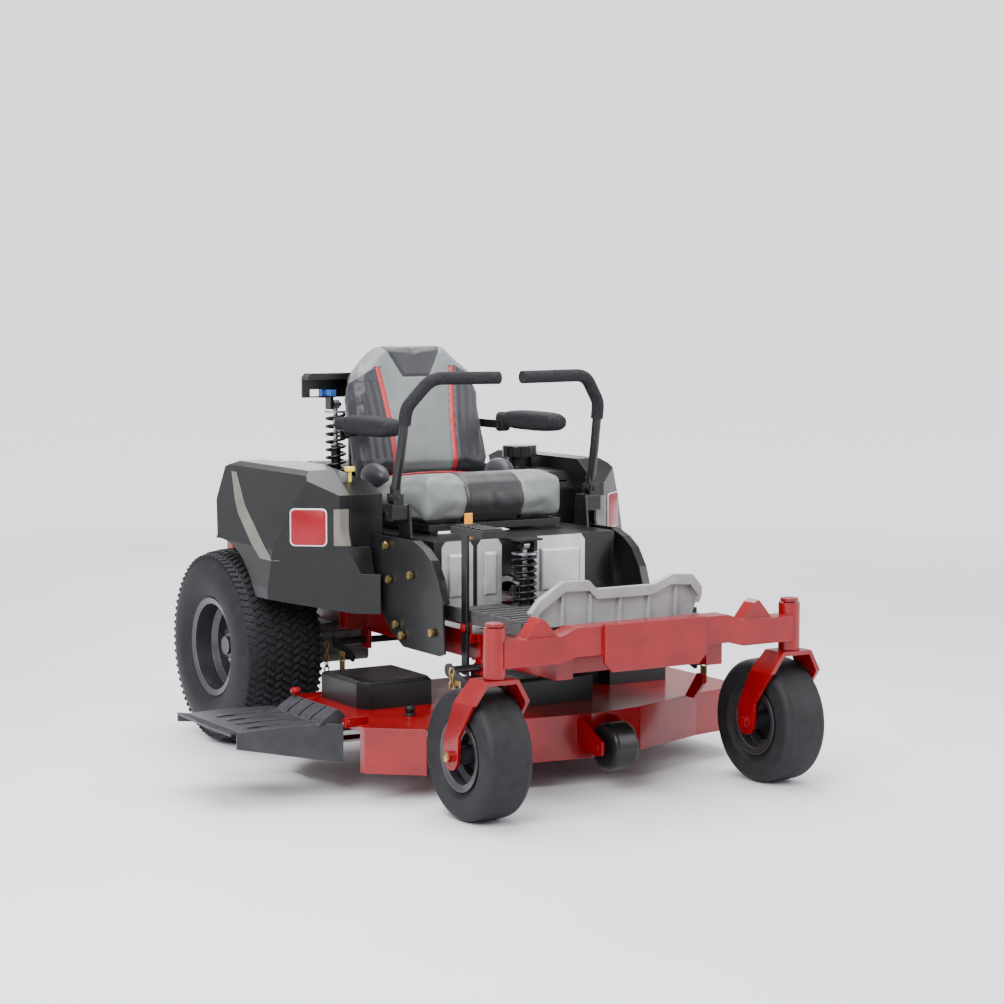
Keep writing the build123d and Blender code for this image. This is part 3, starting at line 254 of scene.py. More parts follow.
def spread(tree, source, output, low, high):
    """A pattern's 0 to 1 turned into a range of numbers."""
    return add(tree, "MapRange", values={"To Min": low, "To Max": high}, links={"Value": (source, output)})


def paint(name, dark, light, rough, peel=1.6, bump=0.05, coat=0.0, metal=0.0, blotch=90, edge=None,
          shine=0.5):
    """A sprayed or moulded skin: slow colour drift, fine orange peel, worn edges."""
    material, tree, shader, place = start(name, Metallic=metal)
    shader.inputs["Coat Weight"].default_value = coat
    shader.inputs["Specular IOR Level"].default_value = shine
    shader.inputs["Coat Roughness"].default_value = 0.08
    drift = add(tree, "TexNoise", {"Scale": per_mm(blotch), "Detail": 4.0}, {"Vector": (place, "Object")})
    fine = add(tree, "TexNoise", {"Scale": per_mm(peel), "Detail": 2.0}, {"Vector": (place, "Object")})
    colour = two_tone(tree, drift, "Fac", dark, light)
    last = (colour, "Color")
    if edge:
        corner = add(tree, "Bevel", {"Radius": 0.0022}, samples=4)
        flat = add(tree, "NewGeometry")
        same = add(tree, "VectorMath", links={0: (corner, "Normal"), 1: (flat, "Normal")},
                   operation="DOT_PRODUCT")
        scuff = add(tree, "TexNoise", {"Scale": per_mm(9), "Detail": 5.0}, {"Vector": (place, "Object")})
        sharp = add(tree, "MapRange", {"From Min": 0.985, "From Max": 0.90}, {"Value": (same, "Value")})
        worn = add(tree, "Math", links={0: (sharp, "Result"), 1: (scuff, "Fac")}, operation="MULTIPLY")
        mixed = add(tree, "Mix", {7: srgb(edge)}, {0: (worn, "Value"), 6: last}, data_type="RGBA")
        last = (mixed, 2)
    tree.links.new(last[0].outputs[last[1]], shader.inputs["Base Color"])
    gloss = spread(tree, drift, "Fac", rough * 0.85, rough * 1.2)
    tree.links.new(gloss.outputs["Result"], shader.inputs["Roughness"])
    relief = add(tree, "Bump", {"Strength": bump, "Distance": 0.0006}, {"Height": (fine, "Fac")})
    if edge:
        tree.links.new(corner.outputs["Normal"], relief.inputs["Normal"])
    tree.links.new(relief.outputs["Normal"], shader.inputs["Normal"])
    return material


# %% [markdown]
# The frame, forks and deck are steel, powder coated in deep red. Powder flows out as it
# cures and leaves a faint orange peel about 1.5 mm across under a hard gloss. The same
# coating in black is on the brackets, levers and seat base.

# %% Powder coats
red_coat = paint("red_powder_coat", "#6c0005", "#820209", 0.24, peel=1.6, bump=0.10, coat=0.2,
                 edge="#a8242c", shine=0.35)
black_coat = paint("black_powder_coat", "#0c0c0e", "#141416", 0.32, peel=1.5, bump=0.14, coat=0.1,
                   edge="#48484c", shine=0.35)
print("powder coats", red_coat.name, black_coat.name)

# %% [markdown]
# The pods, tank, covers and chute are moulded polyethylene and polypropylene. The mould
# is etched, so the skin has a fine leathery grain and a dull, slightly uneven shine.

# %% Moulded plastics
pod_plastic = paint("moulded_polypropylene", "#0b0b0d", "#131315", 0.30, peel=0.9, bump=0.22,
                    edge="#3c3c40", shine=0.35)
trim_plastic = paint("warm_grey_abs", "#5d5a54", "#6b6861", 0.38, peel=0.9, bump=0.25, edge="#85827a")
chute_plastic = paint("chute_polyethylene", "#1e1f22", "#2c2d31", 0.36, peel=2.2, bump=0.25, blotch=40,
                      edge="#6a6b70", shine=0.35)
yellow_knob = paint("yellow_acetal", "#cdb51a", "#dcc73a", 0.32, peel=1.2, bump=0.08)
orange_tab = paint("orange_acetal", "#d98a12", "#eba028", 0.34, peel=1.2, bump=0.08)
blue_knob = paint("blue_nylon", "#17468c", "#2a62b0", 0.36, peel=1.2, bump=0.10)
badge_red = paint("badge_enamel", "#7c0614", "#900c1c", 0.26, peel=3.0, bump=0.03, coat=0.1, shine=0.3)
badge_rim = paint("badge_border", "#c9c9cc", "#d9d9dc", 0.30, peel=2.0, bump=0.04)
print("plastics made")

# %% [markdown]
# Bare and plated metals: brushed sheet in the footwell, yellow-passivated zinc on the
# bolts and chains, plain bright steel on rods and blades, cast aluminium on the engine.

# %% Metals
sheet_metal = paint("brushed_aluminium_sheet", "#b4b5b7", "#cfd0d2", 0.34, peel=2.0, bump=0.05, metal=0.75,
                    blotch=60)
zinc = paint("yellow_zinc_plate", "#8f7a48", "#b9a167", 0.30, peel=1.5, bump=0.08, metal=0.9, blotch=12)
bright_steel = paint("bright_steel", "#8d8e92", "#a9aaad", 0.28, peel=1.2, bump=0.06, metal=0.95, blotch=20)
cast_metal = paint("cast_aluminium", "#6c6d6f", "#8b8c8e", 0.52, peel=1.8, bump=0.45, metal=0.8, blotch=25)
engine_black = paint("engine_black_enamel", "#161618", "#202023", 0.33, peel=1.6, bump=0.12, edge="#55555a")
rim_paint = paint("rim_enamel", "#1c1d20", "#292a2e", 0.30, peel=1.6, bump=0.10, coat=0.2, edge="#8f9094")
toe_paint = paint("pewter_sheet_enamel", "#7d7c7e", "#8e8d8f", 0.36, peel=1.8, bump=0.08, blotch=60,
                  edge="#d8d8d2")
print("metals made")

# %% [markdown]
# Rubber and foam. Tyre rubber is nearly black but scatters a grey bloom; the foam on the
# grips and armrests has a skin full of closed cells a millimetre or so across.

# %% Rubber and foam
tyre_rubber = paint("tyre_rubber", "#151517", "#212124", 0.60, peel=2.5, bump=0.35, blotch=30, shine=0.25)
lug_rubber = paint("tread_rubber", "#19191b", "#26262a", 0.66, peel=2.0, bump=0.40, blotch=20, shine=0.2)
foam = paint("closed_cell_foam", "#17171a", "#29292c", 0.78, peel=1.1, bump=0.9, blotch=8, shine=0.2)
mat_rubber = paint("speckled_rubber_mat", "#141415", "#4b4b4d", 0.70, peel=3.0, bump=0.6, blotch=5)
print("rubbers made")

# %% [markdown]
# The seat is sewn from foam-backed vinyl. Vinyl's embossed grain is a net of shallow
# creases about 2 mm apart, drawn here with a Voronoi pattern's cell edges.

# %% Vinyl


def vinyl(name, dark, light, rough=0.48):
    """Embossed upholstery vinyl with a creased grain."""
    material, tree, shader, place = start(name)
    shader.inputs["Sheen Weight"].default_value = 0.12
    shader.inputs["IOR"].default_value = 1.5
    drift = add(tree, "TexNoise", {"Scale": per_mm(70), "Detail": 3.0}, {"Vector": (place, "Object")})
    crease = add(tree, "TexVoronoi", {"Scale": per_mm(2.4)}, {"Vector": (place, "Object")},
                 feature="DISTANCE_TO_EDGE")
    colour = two_tone(tree, drift, "Fac", dark, light)
    tree.links.new(colour.outputs["Color"], shader.inputs["Base Color"])
    gloss = spread(tree, drift, "Fac", rough * 0.85, rough * 1.15)
    tree.links.new(gloss.outputs["Result"], shader.inputs["Roughness"])
    relief = add(tree, "Bump", {"Strength": 0.25, "Distance": 0.0005}, {"Height": (crease, "Distance")})
    tree.links.new(relief.outputs["Normal"], shader.inputs["Normal"])
    return material


vinyl_light = vinyl("vinyl_light_grey", "#5e6262", "#6f7373")
vinyl_dark = vinyl("vinyl_charcoal", "#1a1a20", "#26272e")
vinyl_black = vinyl("vinyl_black", "#121216", "#1d1d21")
vinyl_red = vinyl("vinyl_red", "#960c18", "#b01a26", rough=0.40)
print("vinyls made")

# %% [markdown]
# The CAD nodes already have the right shapes, so each only needs its real finish. One
# table says which finish goes on which nodes.

# %% Paint the CAD nodes
FINISHES = {
    red_coat: ["main_frame", "front_beam", "caster_fork_right", "caster_fork_left", "deck_shell",
               "engine_guard"],
    black_coat: ["side_plates", "seat_base", "lift_pedal", "lever_hub_right", "lever_hub_left", "lever_right",
                 "lever_left", "seat_pan", "lift_shaft_front", "lift_shaft_rear", "front_spring",
                 "rear_spring", "rear_damper", "front_damper"],
    pod_plastic: ["right_pod", "left_pod", "right_console", "fuel_tank", "fuel_cap", "deck_covers",
                  "anti_scalp_roller"],
    chute_plastic: ["chute"],
    engine_black: ["engine_shroud", "muffler"],
    tyre_rubber: ["caster_tyre_right", "caster_tyre_left", "drive_tyre_right", "drive_tyre_left"],
    rim_paint: ["caster_rim_right", "caster_rim_left", "drive_rim_right", "drive_rim_left"],
    foam: ["grip_right", "grip_left", "armrest_right", "armrest_left"],
    mat_rubber: ["floor_pan"],
    sheet_metal: ["footwell_panels"],
    toe_paint: ["toe_board"],
    zinc: ["frame_bolts", "deck_hangers"],
    bright_steel: ["front_damper_rod", "rear_damper_rod", "crank_pulley", "blade_spindle_right",
                   "blade_spindle_centre", "blade_spindle_left"],
    cast_metal: ["engine_block", "hydro_drives"],
    orange_tab: ["seat_latch"],
    yellow_knob: ["blade_switch"],
    blue_knob: ["shock_adjuster"],
    vinyl_dark: ["seat_cushion", "seat_back"],
}
for material, names in FINISHES.items():
    for name in names:
        nodes[name].data.materials.clear()
        nodes[name].data.materials.append(material)
print("painted", sum(len(names) for names in FINISHES.values()), "nodes")

# %% [markdown]
# The floor is a plain sheet of pale paper. Far from the machine the lamps no longer reach
# it, so there it glows a little, as backlit paper does, and melts into the room.

# %% Floor
deselect()
bpy.ops.mesh.primitive_plane_add(size=40, location=at(0, 0, 0))
floor = bpy.context.object
floor.name = "floor"
floor_paint = paint("studio_floor", "#dcdce2", "#e4e4e9", 0.55, peel=20, bump=0.0, blotch=900)
tree = floor_paint.node_tree
shader = next(n for n in tree.nodes if n.type == "BSDF_PRINCIPLED")
place = next(n for n in tree.nodes if n.type == "TEX_COORD")
shader.inputs["Emission Color"].default_value = (0.93, 0.93, 0.96, 1)
reach = add(tree, "VectorMath", {1: tuple(MIDDLE)}, {0: (place, "Object")}, operation="DISTANCE")
glow = add(tree, "MapRange", {"From Min": 2.2, "From Max": 8.0, "To Max": 1.28}, {"Value": (reach, "Value")},
           interpolation_type="SMOOTHSTEP")
tree.links.new(glow.outputs["Result"], shader.inputs["Emission Strength"])
floor.data.materials.append(floor_paint)
settle(floor)

# %% [markdown]
# ## The padded seat
# A cushion is cut foam under a sewn cover: crowned, with pulled-in seams. The CAD solid
# gives its size. A copy is remeshed to an even grid, blown up a little as cloth, held to
# a few millimetres of growth, and then the seams are drawn in along their lines.

# %% Padding helper


def padded_copy(node, voxel=0.005, shrink=0.006, cap=0.010, pressure=4.0, rounds=3):
    """A puffed copy of a plain CAD cushion, as one even, closed mesh."""
    piece = nodes[node].copy()
    piece.data = nodes[node].data.copy()
    bpy.context.scene.collection.objects.link(piece)
    piece.parent = None
    piece.matrix_world = nodes[node].matrix_world.copy()
    for key in list(piece.keys()):
        del piece[key]
    piece.hide_render = False
    choose(piece)
    settle(piece)
    bpy.ops.object.mode_set(mode="EDIT")
    bpy.ops.mesh.select_all(action="SELECT")
    bpy.ops.mesh.remove_doubles(threshold=0.0001)
    bpy.ops.transform.shrink_fatten(value=-shrink)
    bpy.ops.object.mode_set(mode="OBJECT")
    remesh = piece.modifiers.new("even", "REMESH")
    remesh.mode = "VOXEL"
    remesh.voxel_size = voxel
    apply_modifiers(piece)
    before = [v.co.copy() for v in piece.data.vertices]
    cloth = piece.modifiers.new("air", "CLOTH")
    cloth.settings.use_pressure = True
    cloth.settings.uniform_pressure_force = pressure
    cloth.settings.effector_weights.gravity = 0
    cloth.point_cache.frame_start = 1
    cloth.point_cache.frame_end = 20
    for step in range(1, 21):
        bpy.context.scene.frame_set(step)
    apply_modifiers(piece)
    for vertex, old in zip(piece.data.vertices, before):
        moved = vertex.co - old
        if moved.length > cap:
            vertex.co = old + moved.normalized() * cap
    bpy.context.scene.frame_set(1)
    smooth = piece.modifiers.new("smooth", "SMOOTH")
    smooth.factor = 0.5
    smooth.iterations = rounds
    fine = piece.modifiers.new("fine", "SUBSURF")
    fine.levels = 1
    fine.render_levels = 1
    apply_modifiers(piece)
    return piece


def tube(name, points, radius, material, body, smooth_order=3):
    """A round welt along a smooth line through a few points."""
    line = bpy.data.curves.new(name, "CURVE")
    line.dimensions = "3D"
    spline = line.splines.new("NURBS")
    spline.points.add(len(points) - 1)
    for knot, place in zip(spline.points, points):
        knot.co = (*place, 1)
    spline.order_u = smooth_order
    spline.use_endpoint_u = True
    spline.resolution_u = 8
    line.bevel_depth = radius * MM
    line.bevel_resolution = 3
    line.use_fill_caps = True
    piece = bpy.data.objects.new(name, line)
    bpy.context.scene.collection.objects.link(piece)
    choose(piece)
    bpy.ops.object.convert(target="MESH")
    return finish(bpy.context.object, name, material, body, smooth=60)


# %% [markdown]
# The cushion has a black centre between two light panels, with a seam beside each. Its
# seams are pressed in after the remesh, which would close anything narrower than a voxel.

# %% Cushion
cushion = padded_copy("seat_cushion", rounds=14)
low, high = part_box("seat_cushion")
PANEL = 92 * MM


def press(piece, depth):
    """Sinks each point along its normal by depth(place, normal); normals are read before any point moves."""
    normals = [v.normal.copy() for v in piece.data.vertices]
    for vertex, normal in zip(piece.data.vertices, normals):
        vertex.co -= normal * depth(vertex.co, normal)


def cushion_seams(place, normal):
    """The seams beside the centre panel."""
    across = abs(place.x - MIDDLE.x) - PANEL
    depth = 0
    if normal.z > 0.2 or normal.y < -0.4:
        depth += 0.006 * math.exp(-(across / 0.006) ** 2)
    return depth


press(cushion, cushion_seams)
cushion.data.materials.clear()
for material in (vinyl_black, vinyl_light, vinyl_dark):
    cushion.data.materials.append(material)
for face in cushion.data.polygons:
    across = abs(face.center.x - MIDDLE.x)
    face.material_index = 0 if across < PANEL else 1
    if face.center.z < low.z + 0.012:
        face.material_index = 2
finish(cushion, "cushion_cover", None, "seat")
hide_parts("seat_cushion")
print("cushion faces", len(cushion.data.polygons))

# %% [markdown]
# The backrest leans back, so its pattern is laid out in its own directions: across, up and
# through. Dark pleated bolsters flank a light centre, with a red stripe beside each, and a
# plain dark panel sits at the head.

# %% Backrest
LEAN = math.radians(14.5)
BACK_FOOT = at(0, 437, 795)
ACROSS = Vector((1, 0, 0))
UP = Vector((0, math.sin(LEAN), math.cos(LEAN)))
THROUGH = Vector((0, math.cos(LEAN), -math.sin(LEAN)))
STRIPE = 16
STRIPE_TOP = 292
HEAD_FOOT = 262


def on_back(point):
    """A point's place on the backrest in millimetres: across, up and through."""
    arm = point - BACK_FOOT
    return arm.dot(ACROSS) / MM, arm.dot(UP) / MM, arm.dot(THROUGH) / MM


def head_half(up):
    """Half the width of the dark head panel, which narrows downwards, at a height up the back."""
    return 44 + 60 * (up - HEAD_FOOT) / 108 if up > HEAD_FOOT else 0


def stripe_at(up):
    """How far out the red stripe runs: close in at the hips, further out at the shoulders."""
    return 92 + 26 * (max(0, up) / 300) ** 2


def drop_to_cushion(place):
    """Lengthens the foot of the backrest, which tucks in behind the cushion."""
    return 34 * MM * (1 - min(1, max(0, on_back(place)[1] / 300)))


def back_seams(place, normal):
    """The stripes' edges, the head panel's outline and the pleats of the bolsters."""
    u, v, w = on_back(place)
    if w > 42:
        return 0
    inner = stripe_at(v)
    stripe = min(abs(abs(u) - inner), abs(abs(u) - inner - STRIPE)) if v < STRIPE_TOP else 99
    head = abs(abs(u) - head_half(v)) if v > HEAD_FOOT else 99
    sill = abs(v - HEAD_FOOT) if abs(u) < 46 else 99
    depth = 0.0045 * math.exp(-(stripe / 4.5) ** 2) + 0.0035 * math.exp(-(min(head, sill) / 5) ** 2)
    if abs(u) > inner + 24 and 20 < v < 250:
        depth += 0.0016 * (1 + math.cos(2 * math.pi * (abs(u) - inner - 24) / 26)) / 2
    return depth


back = padded_copy("seat_back", shrink=0.007, rounds=8)
for vertex in back.data.vertices:
    vertex.co -= UP * drop_to_cushion(vertex.co)
press(back, back_seams)
back.data.materials.clear()
for material in (vinyl_light, vinyl_dark, vinyl_red, vinyl_black):
    back.data.materials.append(material)
for face in back.data.polygons:
    u, v, w = on_back(face.center)
    inner = stripe_at(v)
    shoulder = STRIPE_TOP - max(0, abs(u) - inner - STRIPE) * 0.5
    kind = 0
    if w > 46:
        kind = 3
    elif v > HEAD_FOOT and abs(u) < head_half(v):
        kind = 1
    elif abs(u) > inner + STRIPE and v < shoulder:
        kind = 1
    elif inner < abs(u) <= inner + STRIPE and v < STRIPE_TOP:
        kind = 2
    face.material_index = kind
finish(back, "backrest_cover", None, "seat")
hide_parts("seat_back")
print("backrest faces", len(back.data.polygons))

# %% [markdown]
# Round bolsters close the gap at the seat's hips, and a red welt marks the joint between
# the cushion and the backrest.

# %% Hip bolsters and welt
for side, name in ((-1, "right"), (1, "left")):
    deselect()
    bpy.ops.mesh.primitive_uv_sphere_add(segments=32, ring_count=20, radius=1)
    bolster = bpy.context.object
    bolster.scale = (30 * MM, 66 * MM, 36 * MM)
    bolster.location = at(side * 208, 372, 772)
    settle(bolster)
    for vertex in bolster.data.vertices:
        vertex.co.z = max(vertex.co.z, at(0, 0, 748).z)
    finish(bolster, f"hip_bolster_{name}", vinyl_dark, "seat", smooth=60)
welt_z = 762
welt_line = [(-150, 418, 0), (-80, 410, 8), (0, 407, 10), (80, 410, 8), (150, 418, 0)]
tube("seat_welt", [at(x, y, welt_z + rise) for x, y, rise in welt_line], 3.0, vinyl_red, "seat")

# %% [markdown]
# ## Turf tread
# A lawn tyre carries rows of small rubber blocks that spread the weight and spare the
# grass. The carcass is a profile spun round the axle. One block is modelled, then copied
# round each row, turned one way and the other from row to row.

# %% Drive tyres
BLOCK_ROWS = 9
BLOCKS_ROUND = 76
LUG = 6.0


def tyre_profile(radius, width, bead):
    """Half of a tyre's section as (across, out) points, in millimetres."""
    half = width / 2
    rise = radius - bead
    return [(half * 0.80, bead), (half * 0.82, bead + 15), (half * 0.93, bead + rise * 0.18),
            (half, bead + rise * 0.40), (half * 0.99, bead + rise * 0.62), (half * 0.93, bead + rise * 0.80),
            (half * 0.84, bead + rise * 0.91), (half * 0.66, bead + rise * 0.965),
            (half * 0.35, bead + rise * 0.992), (0, bead + rise)]


def spun_tyre(centre, radius, width, bead, steps=96):
    """A tyre carcass: the section spun about the axle, closed at the beads."""
    half = tyre_profile(radius, width, bead)
    section = half + [(-a, r) for a, r in reversed(half[:-1])]
    mesh = bpy.data.meshes.new("carcass")
    points = [(a * MM, 0, r * MM) for a, r in section]
    mesh.from_pydata(points, [(k, (k + 1) % len(points)) for k in range(len(points))], [])
    piece = bpy.data.objects.new("carcass", mesh)
    bpy.context.scene.collection.objects.link(piece)
    choose(piece)
    bpy.ops.object.mode_set(mode="EDIT")
    bpy.ops.mesh.select_all(action="SELECT")
    bpy.ops.mesh.spin(steps=steps, angle=2 * math.pi, center=(0, 0, 0), axis=(1, 0, 0), use_auto_merge=True)
    bpy.ops.mesh.select_all(action="SELECT")
    bpy.ops.mesh.remove_doubles(threshold=0.00005)
    bpy.ops.mesh.normals_make_consistent(inside=False)
    bpy.ops.object.mode_set(mode="OBJECT")
    piece.location = centre
    settle(piece)
    return piece


def tread_block(long, wide, tall):
    """One rubber block, narrower at its top, lying with its height along Z."""
    deselect()
    bpy.ops.mesh.primitive_cube_add(size=1)
    block = bpy.context.object
    block.scale = (long * MM, wide * MM, tall * MM)
    settle(block)
    pick_faces(block, lambda face: face.normal.z > 0.9)
    bpy.ops.transform.resize(value=(0.86, 0.78, 1))
    bpy.ops.object.mode_set(mode="OBJECT")
    return block


def tread(name, centre, radius, width, body):
    """The rows of blocks round a tyre, joined as one piece."""
    block = tread_block(width / BLOCK_ROWS * 0.98, 12.5, LUG + 5)
    points = [v.co.copy() for v in block.data.vertices]
    faces = [tuple(f.vertices) for f in block.data.polygons]
    all_points = []
    all_faces = []
    half = width / 2
    for row in range(BLOCK_ROWS):
        across = (row - (BLOCK_ROWS - 1) / 2) * width / BLOCK_ROWS * 0.93
        drop = (abs(across) / half) ** 3.2 * 22
        lean = math.radians(26 * min(1, (abs(across) / half) ** 3)) * (1 if across > 0 else -1)
        for k in range(BLOCKS_ROUND):
            turn = 2 * math.pi * (k + (row % 2) / 2) / BLOCKS_ROUND
            yaw = math.radians(28 if row % 2 else -28)
            place = (Matrix.Rotation(turn, 4, "X")
                     @ Matrix.Translation((across * MM, 0, (radius - drop - (LUG + 5) / 2) * MM))
                     @ Matrix.Rotation(lean, 4, "Y") @ Matrix.Rotation(yaw, 4, "Z"))
            base = len(all_points)
            all_points += [centre + place @ p for p in points]
            all_faces += [tuple(base + i for i in f) for f in faces]
    bpy.data.objects.remove(block)
    mesh = bpy.data.meshes.new(name)
    mesh.from_pydata(all_points, [], all_faces)
    piece = bpy.data.objects.new(name, mesh)
    bpy.context.scene.collection.objects.link(piece)
    return finish(piece, name, lug_rubber, body, smooth=20)


for name in ("right", "left"):
    low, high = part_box(f"drive_tyre_{name}")
    centre = (low + high) / 2
    radius = (high.z - low.z) / 2 / MM
    width = (high.x - low.x) / MM
    carcass = spun_tyre(centre, radius - LUG, width, 127)
    finish(carcass, f"tyre_carcass_{name}", tyre_rubber, f"drive_wheel_{name}", smooth=60)
    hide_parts(f"drive_tyre_{name}")
    tread(f"turf_tread_{name}", centre, radius, width * 0.97, f"drive_wheel_{name}")
    print("tyre", name, "radius", round(radius, 1), "width", round(width, 1))

# %% [markdown]
# Behind the tread, the wheel's steel rim ends in a rolled lip that the powder coat wears
# off. It is a small half-round profile spun about the axle.

# %% Bright rim lips
LIP_OUT = 101.6
for name in ("right", "left"):
    low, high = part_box(f"drive_rim_{name}")
    centre = (low + high) / 2
    radius = (high.z - low.z) / 2 / MM
    side = -1 if name == "right" else 1
    section = [(-4, -5), (-4, 0.5), (-2, 1.8), (0, 2), (3, 1.4), (4.5, -0.5), (4.5, -5)]
    mesh = bpy.data.meshes.new("lip")
    points = [(side * (LIP_OUT + a) * MM, 0, (radius + r - 1.5) * MM) for a, r in section]
    mesh.from_pydata(points, [(k, (k + 1) % len(points)) for k in range(len(points))], [])
    lip = bpy.data.objects.new("lip", mesh)
    bpy.context.scene.collection.objects.link(lip)
    choose(lip)
    bpy.ops.object.mode_set(mode="EDIT")
    bpy.ops.mesh.select_all(action="SELECT")
    bpy.ops.mesh.spin(steps=72, angle=2 * math.pi, center=(0, 0, 0), axis=(1, 0, 0), use_auto_merge=True)
    bpy.ops.mesh.select_all(action="SELECT")
    bpy.ops.mesh.remove_doubles(threshold=0.00005)
    bpy.ops.mesh.normals_make_consistent(inside=False)
    bpy.ops.object.mode_set(mode="OBJECT")
    lip.location = Vector((middle(f"drive_tyre_{name}").x, centre.y, centre.z))
    finish(lip, f"rim_lip_{name}", bright_steel, f"drive_wheel_{name}", smooth=50)
print("rim lips done")

# %% [markdown]
# ## Trim on the pods
# The moulded pods carry flush trim in warm grey and a coloured badge plate. Each panel is
# drawn as a flat outline beside the pod, cut into a fine grid, pressed onto the pod's
# surface by casting a ray from each point, and thickened outwards.

# %% Trim panels


def trim(name, node, corners, toward, material, body, thick=1.6, rows=10, columns=10):
    """A panel between four corners in millimetres, pressed along a direction onto a node."""
    corners = [at(*c) for c in corners]
    points = []
    for row in range(rows + 1):
        for column in range(columns + 1):
            a = corners[0].lerp(corners[1], column / columns)
            b = corners[3].lerp(corners[2], column / columns)
            points.append(a.lerp(b, row / rows))
    wide = columns + 1
    faces = [(r * wide + c, r * wide + c + 1, (r + 1) * wide + c + 1, (r + 1) * wide + c)
             for r in range(rows) for c in range(columns)]
    mesh = bpy.data.meshes.new(name)
    mesh.from_pydata(points, [], faces)
    piece = bpy.data.objects.new(name, mesh)
    bpy.context.scene.collection.objects.link(piece)
    toward = Vector(toward).normalized()
    target = nodes[node]
    missed = 0
    for vertex in mesh.vertices:
        found, place, normal, _ = target.ray_cast(vertex.co - toward * 0.4, toward, distance=0.9)
        if found:
            vertex.co = place - toward * thick * MM
        else:
            missed += 1
    mesh.update()
    if sum((face.normal.dot(toward) for face in mesh.polygons)) > 0:
        mesh.flip_normals()
    thickness = piece.modifiers.new("thickness", "SOLIDIFY")
    thickness.thickness = (thick + 1.5) * MM
    thickness.offset = -1
    apply_modifiers(piece)
    print(name, "missed", missed, "of", wide * (rows + 1))
    return finish(piece, name, material, body, smooth=25)


for side, name in ((-1, "right"), (1, "left")):
    pod = f"{name}_pod"
    inward = (-side, 0, 0)
    beside = side * 700
    upper = [(beside, 668, 776), (beside, 700, 776), (beside, 556, 668), (beside, 524, 690)]
    lower = [(beside, 524, 690), (beside, 556, 668), (beside, 345, 560), (beside, 262, 560)]
    front = [(side * 446, -100, 704), (side * 405, -100, 704), (side * 405, -100, 604), (side * 446, -100, 604)]
    trim(f"pod_stripe_upper_{name}", pod, upper, inward, trim_plastic, "chassis")
    trim(f"pod_stripe_lower_{name}", pod, lower, inward, trim_plastic, "chassis")
    trim(f"pod_corner_{name}", pod, front, (0, 1, 0), trim_plastic, "chassis")
print("pod trim done")

# %% [markdown]
# The badge is a plain enamelled plate with a rounded outline and a raised pale border. It
# sits on the pod's chamfered shoulder, so its frame is turned to face the same way.

# %% Badge plates


def badge(name, side, size, thick, material, lift):
    """A rounded plate on the pod's shoulder, size millimetres across."""
    a = at(side * 500, 294, 654)
    b = at(side * 423, 156, 654)
    edge_line = (b - a).normalized()
    outward = Vector((0, 0, 1)).cross(edge_line).normalized()
    if outward.x * side < 0:
        outward = -outward
    aim_point = a.lerp(b, 0.46)
    found, place, normal, _ = nodes[f"{'right' if side < 0 else 'left'}_pod"].ray_cast(
        aim_point + outward * 0.3, -outward, distance=0.6)
    out = normal
    along = Vector((0, 0, 1)).cross(out).normalized()
    upright = out.cross(along)
    print(name, "faces", [round(v, 2) for v in out], "at", [round(v, 3) for v in place - MIDDLE])
    deselect()
    bpy.ops.mesh.primitive_cube_add(size=1)
    plate = bpy.context.object
    plate.scale = (size * MM, size * MM, thick * MM)
    settle(plate)
    choose(plate)
    bpy.ops.object.mode_set(mode="EDIT")
    bpy.ops.mesh.select_mode(type="EDGE")
    bpy.ops.mesh.select_all(action="DESELECT")
    bpy.ops.object.mode_set(mode="OBJECT")
    for edge in plate.data.edges:
        p, q = (plate.data.vertices[k].co for k in edge.vertices)
        edge.select = abs(p.z - q.z) > abs(p.x - q.x) + abs(p.y - q.y)
    bpy.ops.object.mode_set(mode="EDIT")
    bpy.ops.mesh.bevel(offset=size * 0.13 * MM, segments=8, affect="EDGES")
    bpy.ops.object.mode_set(mode="OBJECT")
    bevelled(plate, thick * 0.3, 2, angle=60)
    turn = Matrix((along, upright, out)).transposed().to_4x4()
    plate.matrix_world = Matrix.Translation(place + out * lift * MM) @ turn
    return finish(plate, name, material, "chassis", smooth=40)


for side, name in ((-1, "right"), (1, "left")):
    badge(f"badge_border_{name}", side, 104, 4.0, badge_rim, 1.0)
    badge(f"badge_plate_{name}", side, 98, 4.0, badge_red, 1.8)
print("badges done")

# %% [markdown]
# Thick foam sleeves give the armrests their round, closed-cell look. Each is a box with a
# few cuts, rounded by a subdivision surface, that swells in the middle.

# %% Armrest sleeves
for side, name in ((-1, "right"), (1, "left")):
    low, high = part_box(f"armrest_{name}")
    deselect()
    bpy.ops.mesh.primitive_cube_add(size=1)
    sleeve = bpy.context.object
    long = (high.y - low.y) * 0.90
    sleeve.scale = (74 * MM, long, 56 * MM)
    sleeve.location = Vector(((low.x + high.x) / 2, low.y + long / 2 - 2 * MM, high.z - 19 * MM))
    settle(sleeve)
    pick_faces(sleeve, lambda face: True)
    bpy.ops.mesh.subdivide(number_cuts=1)
    bpy.ops.object.mode_set(mode="OBJECT")
    rounder = sleeve.modifiers.new("round", "SUBSURF")
    rounder.levels = 3
    rounder.render_levels = 3
    apply_modifiers(sleeve)
    finish(sleeve, f"armrest_sleeve_{name}", foam, f"armrest_{name}", smooth=60)
print("armrest sleeves done")

# %% [markdown]
# ## Small hardware
# Short chains hang the deck from its lift shafts. One link is a rounded loop of plated
# wire; the next is the same link turned a quarter round and moved down by one pitch.

# %% Deck chains


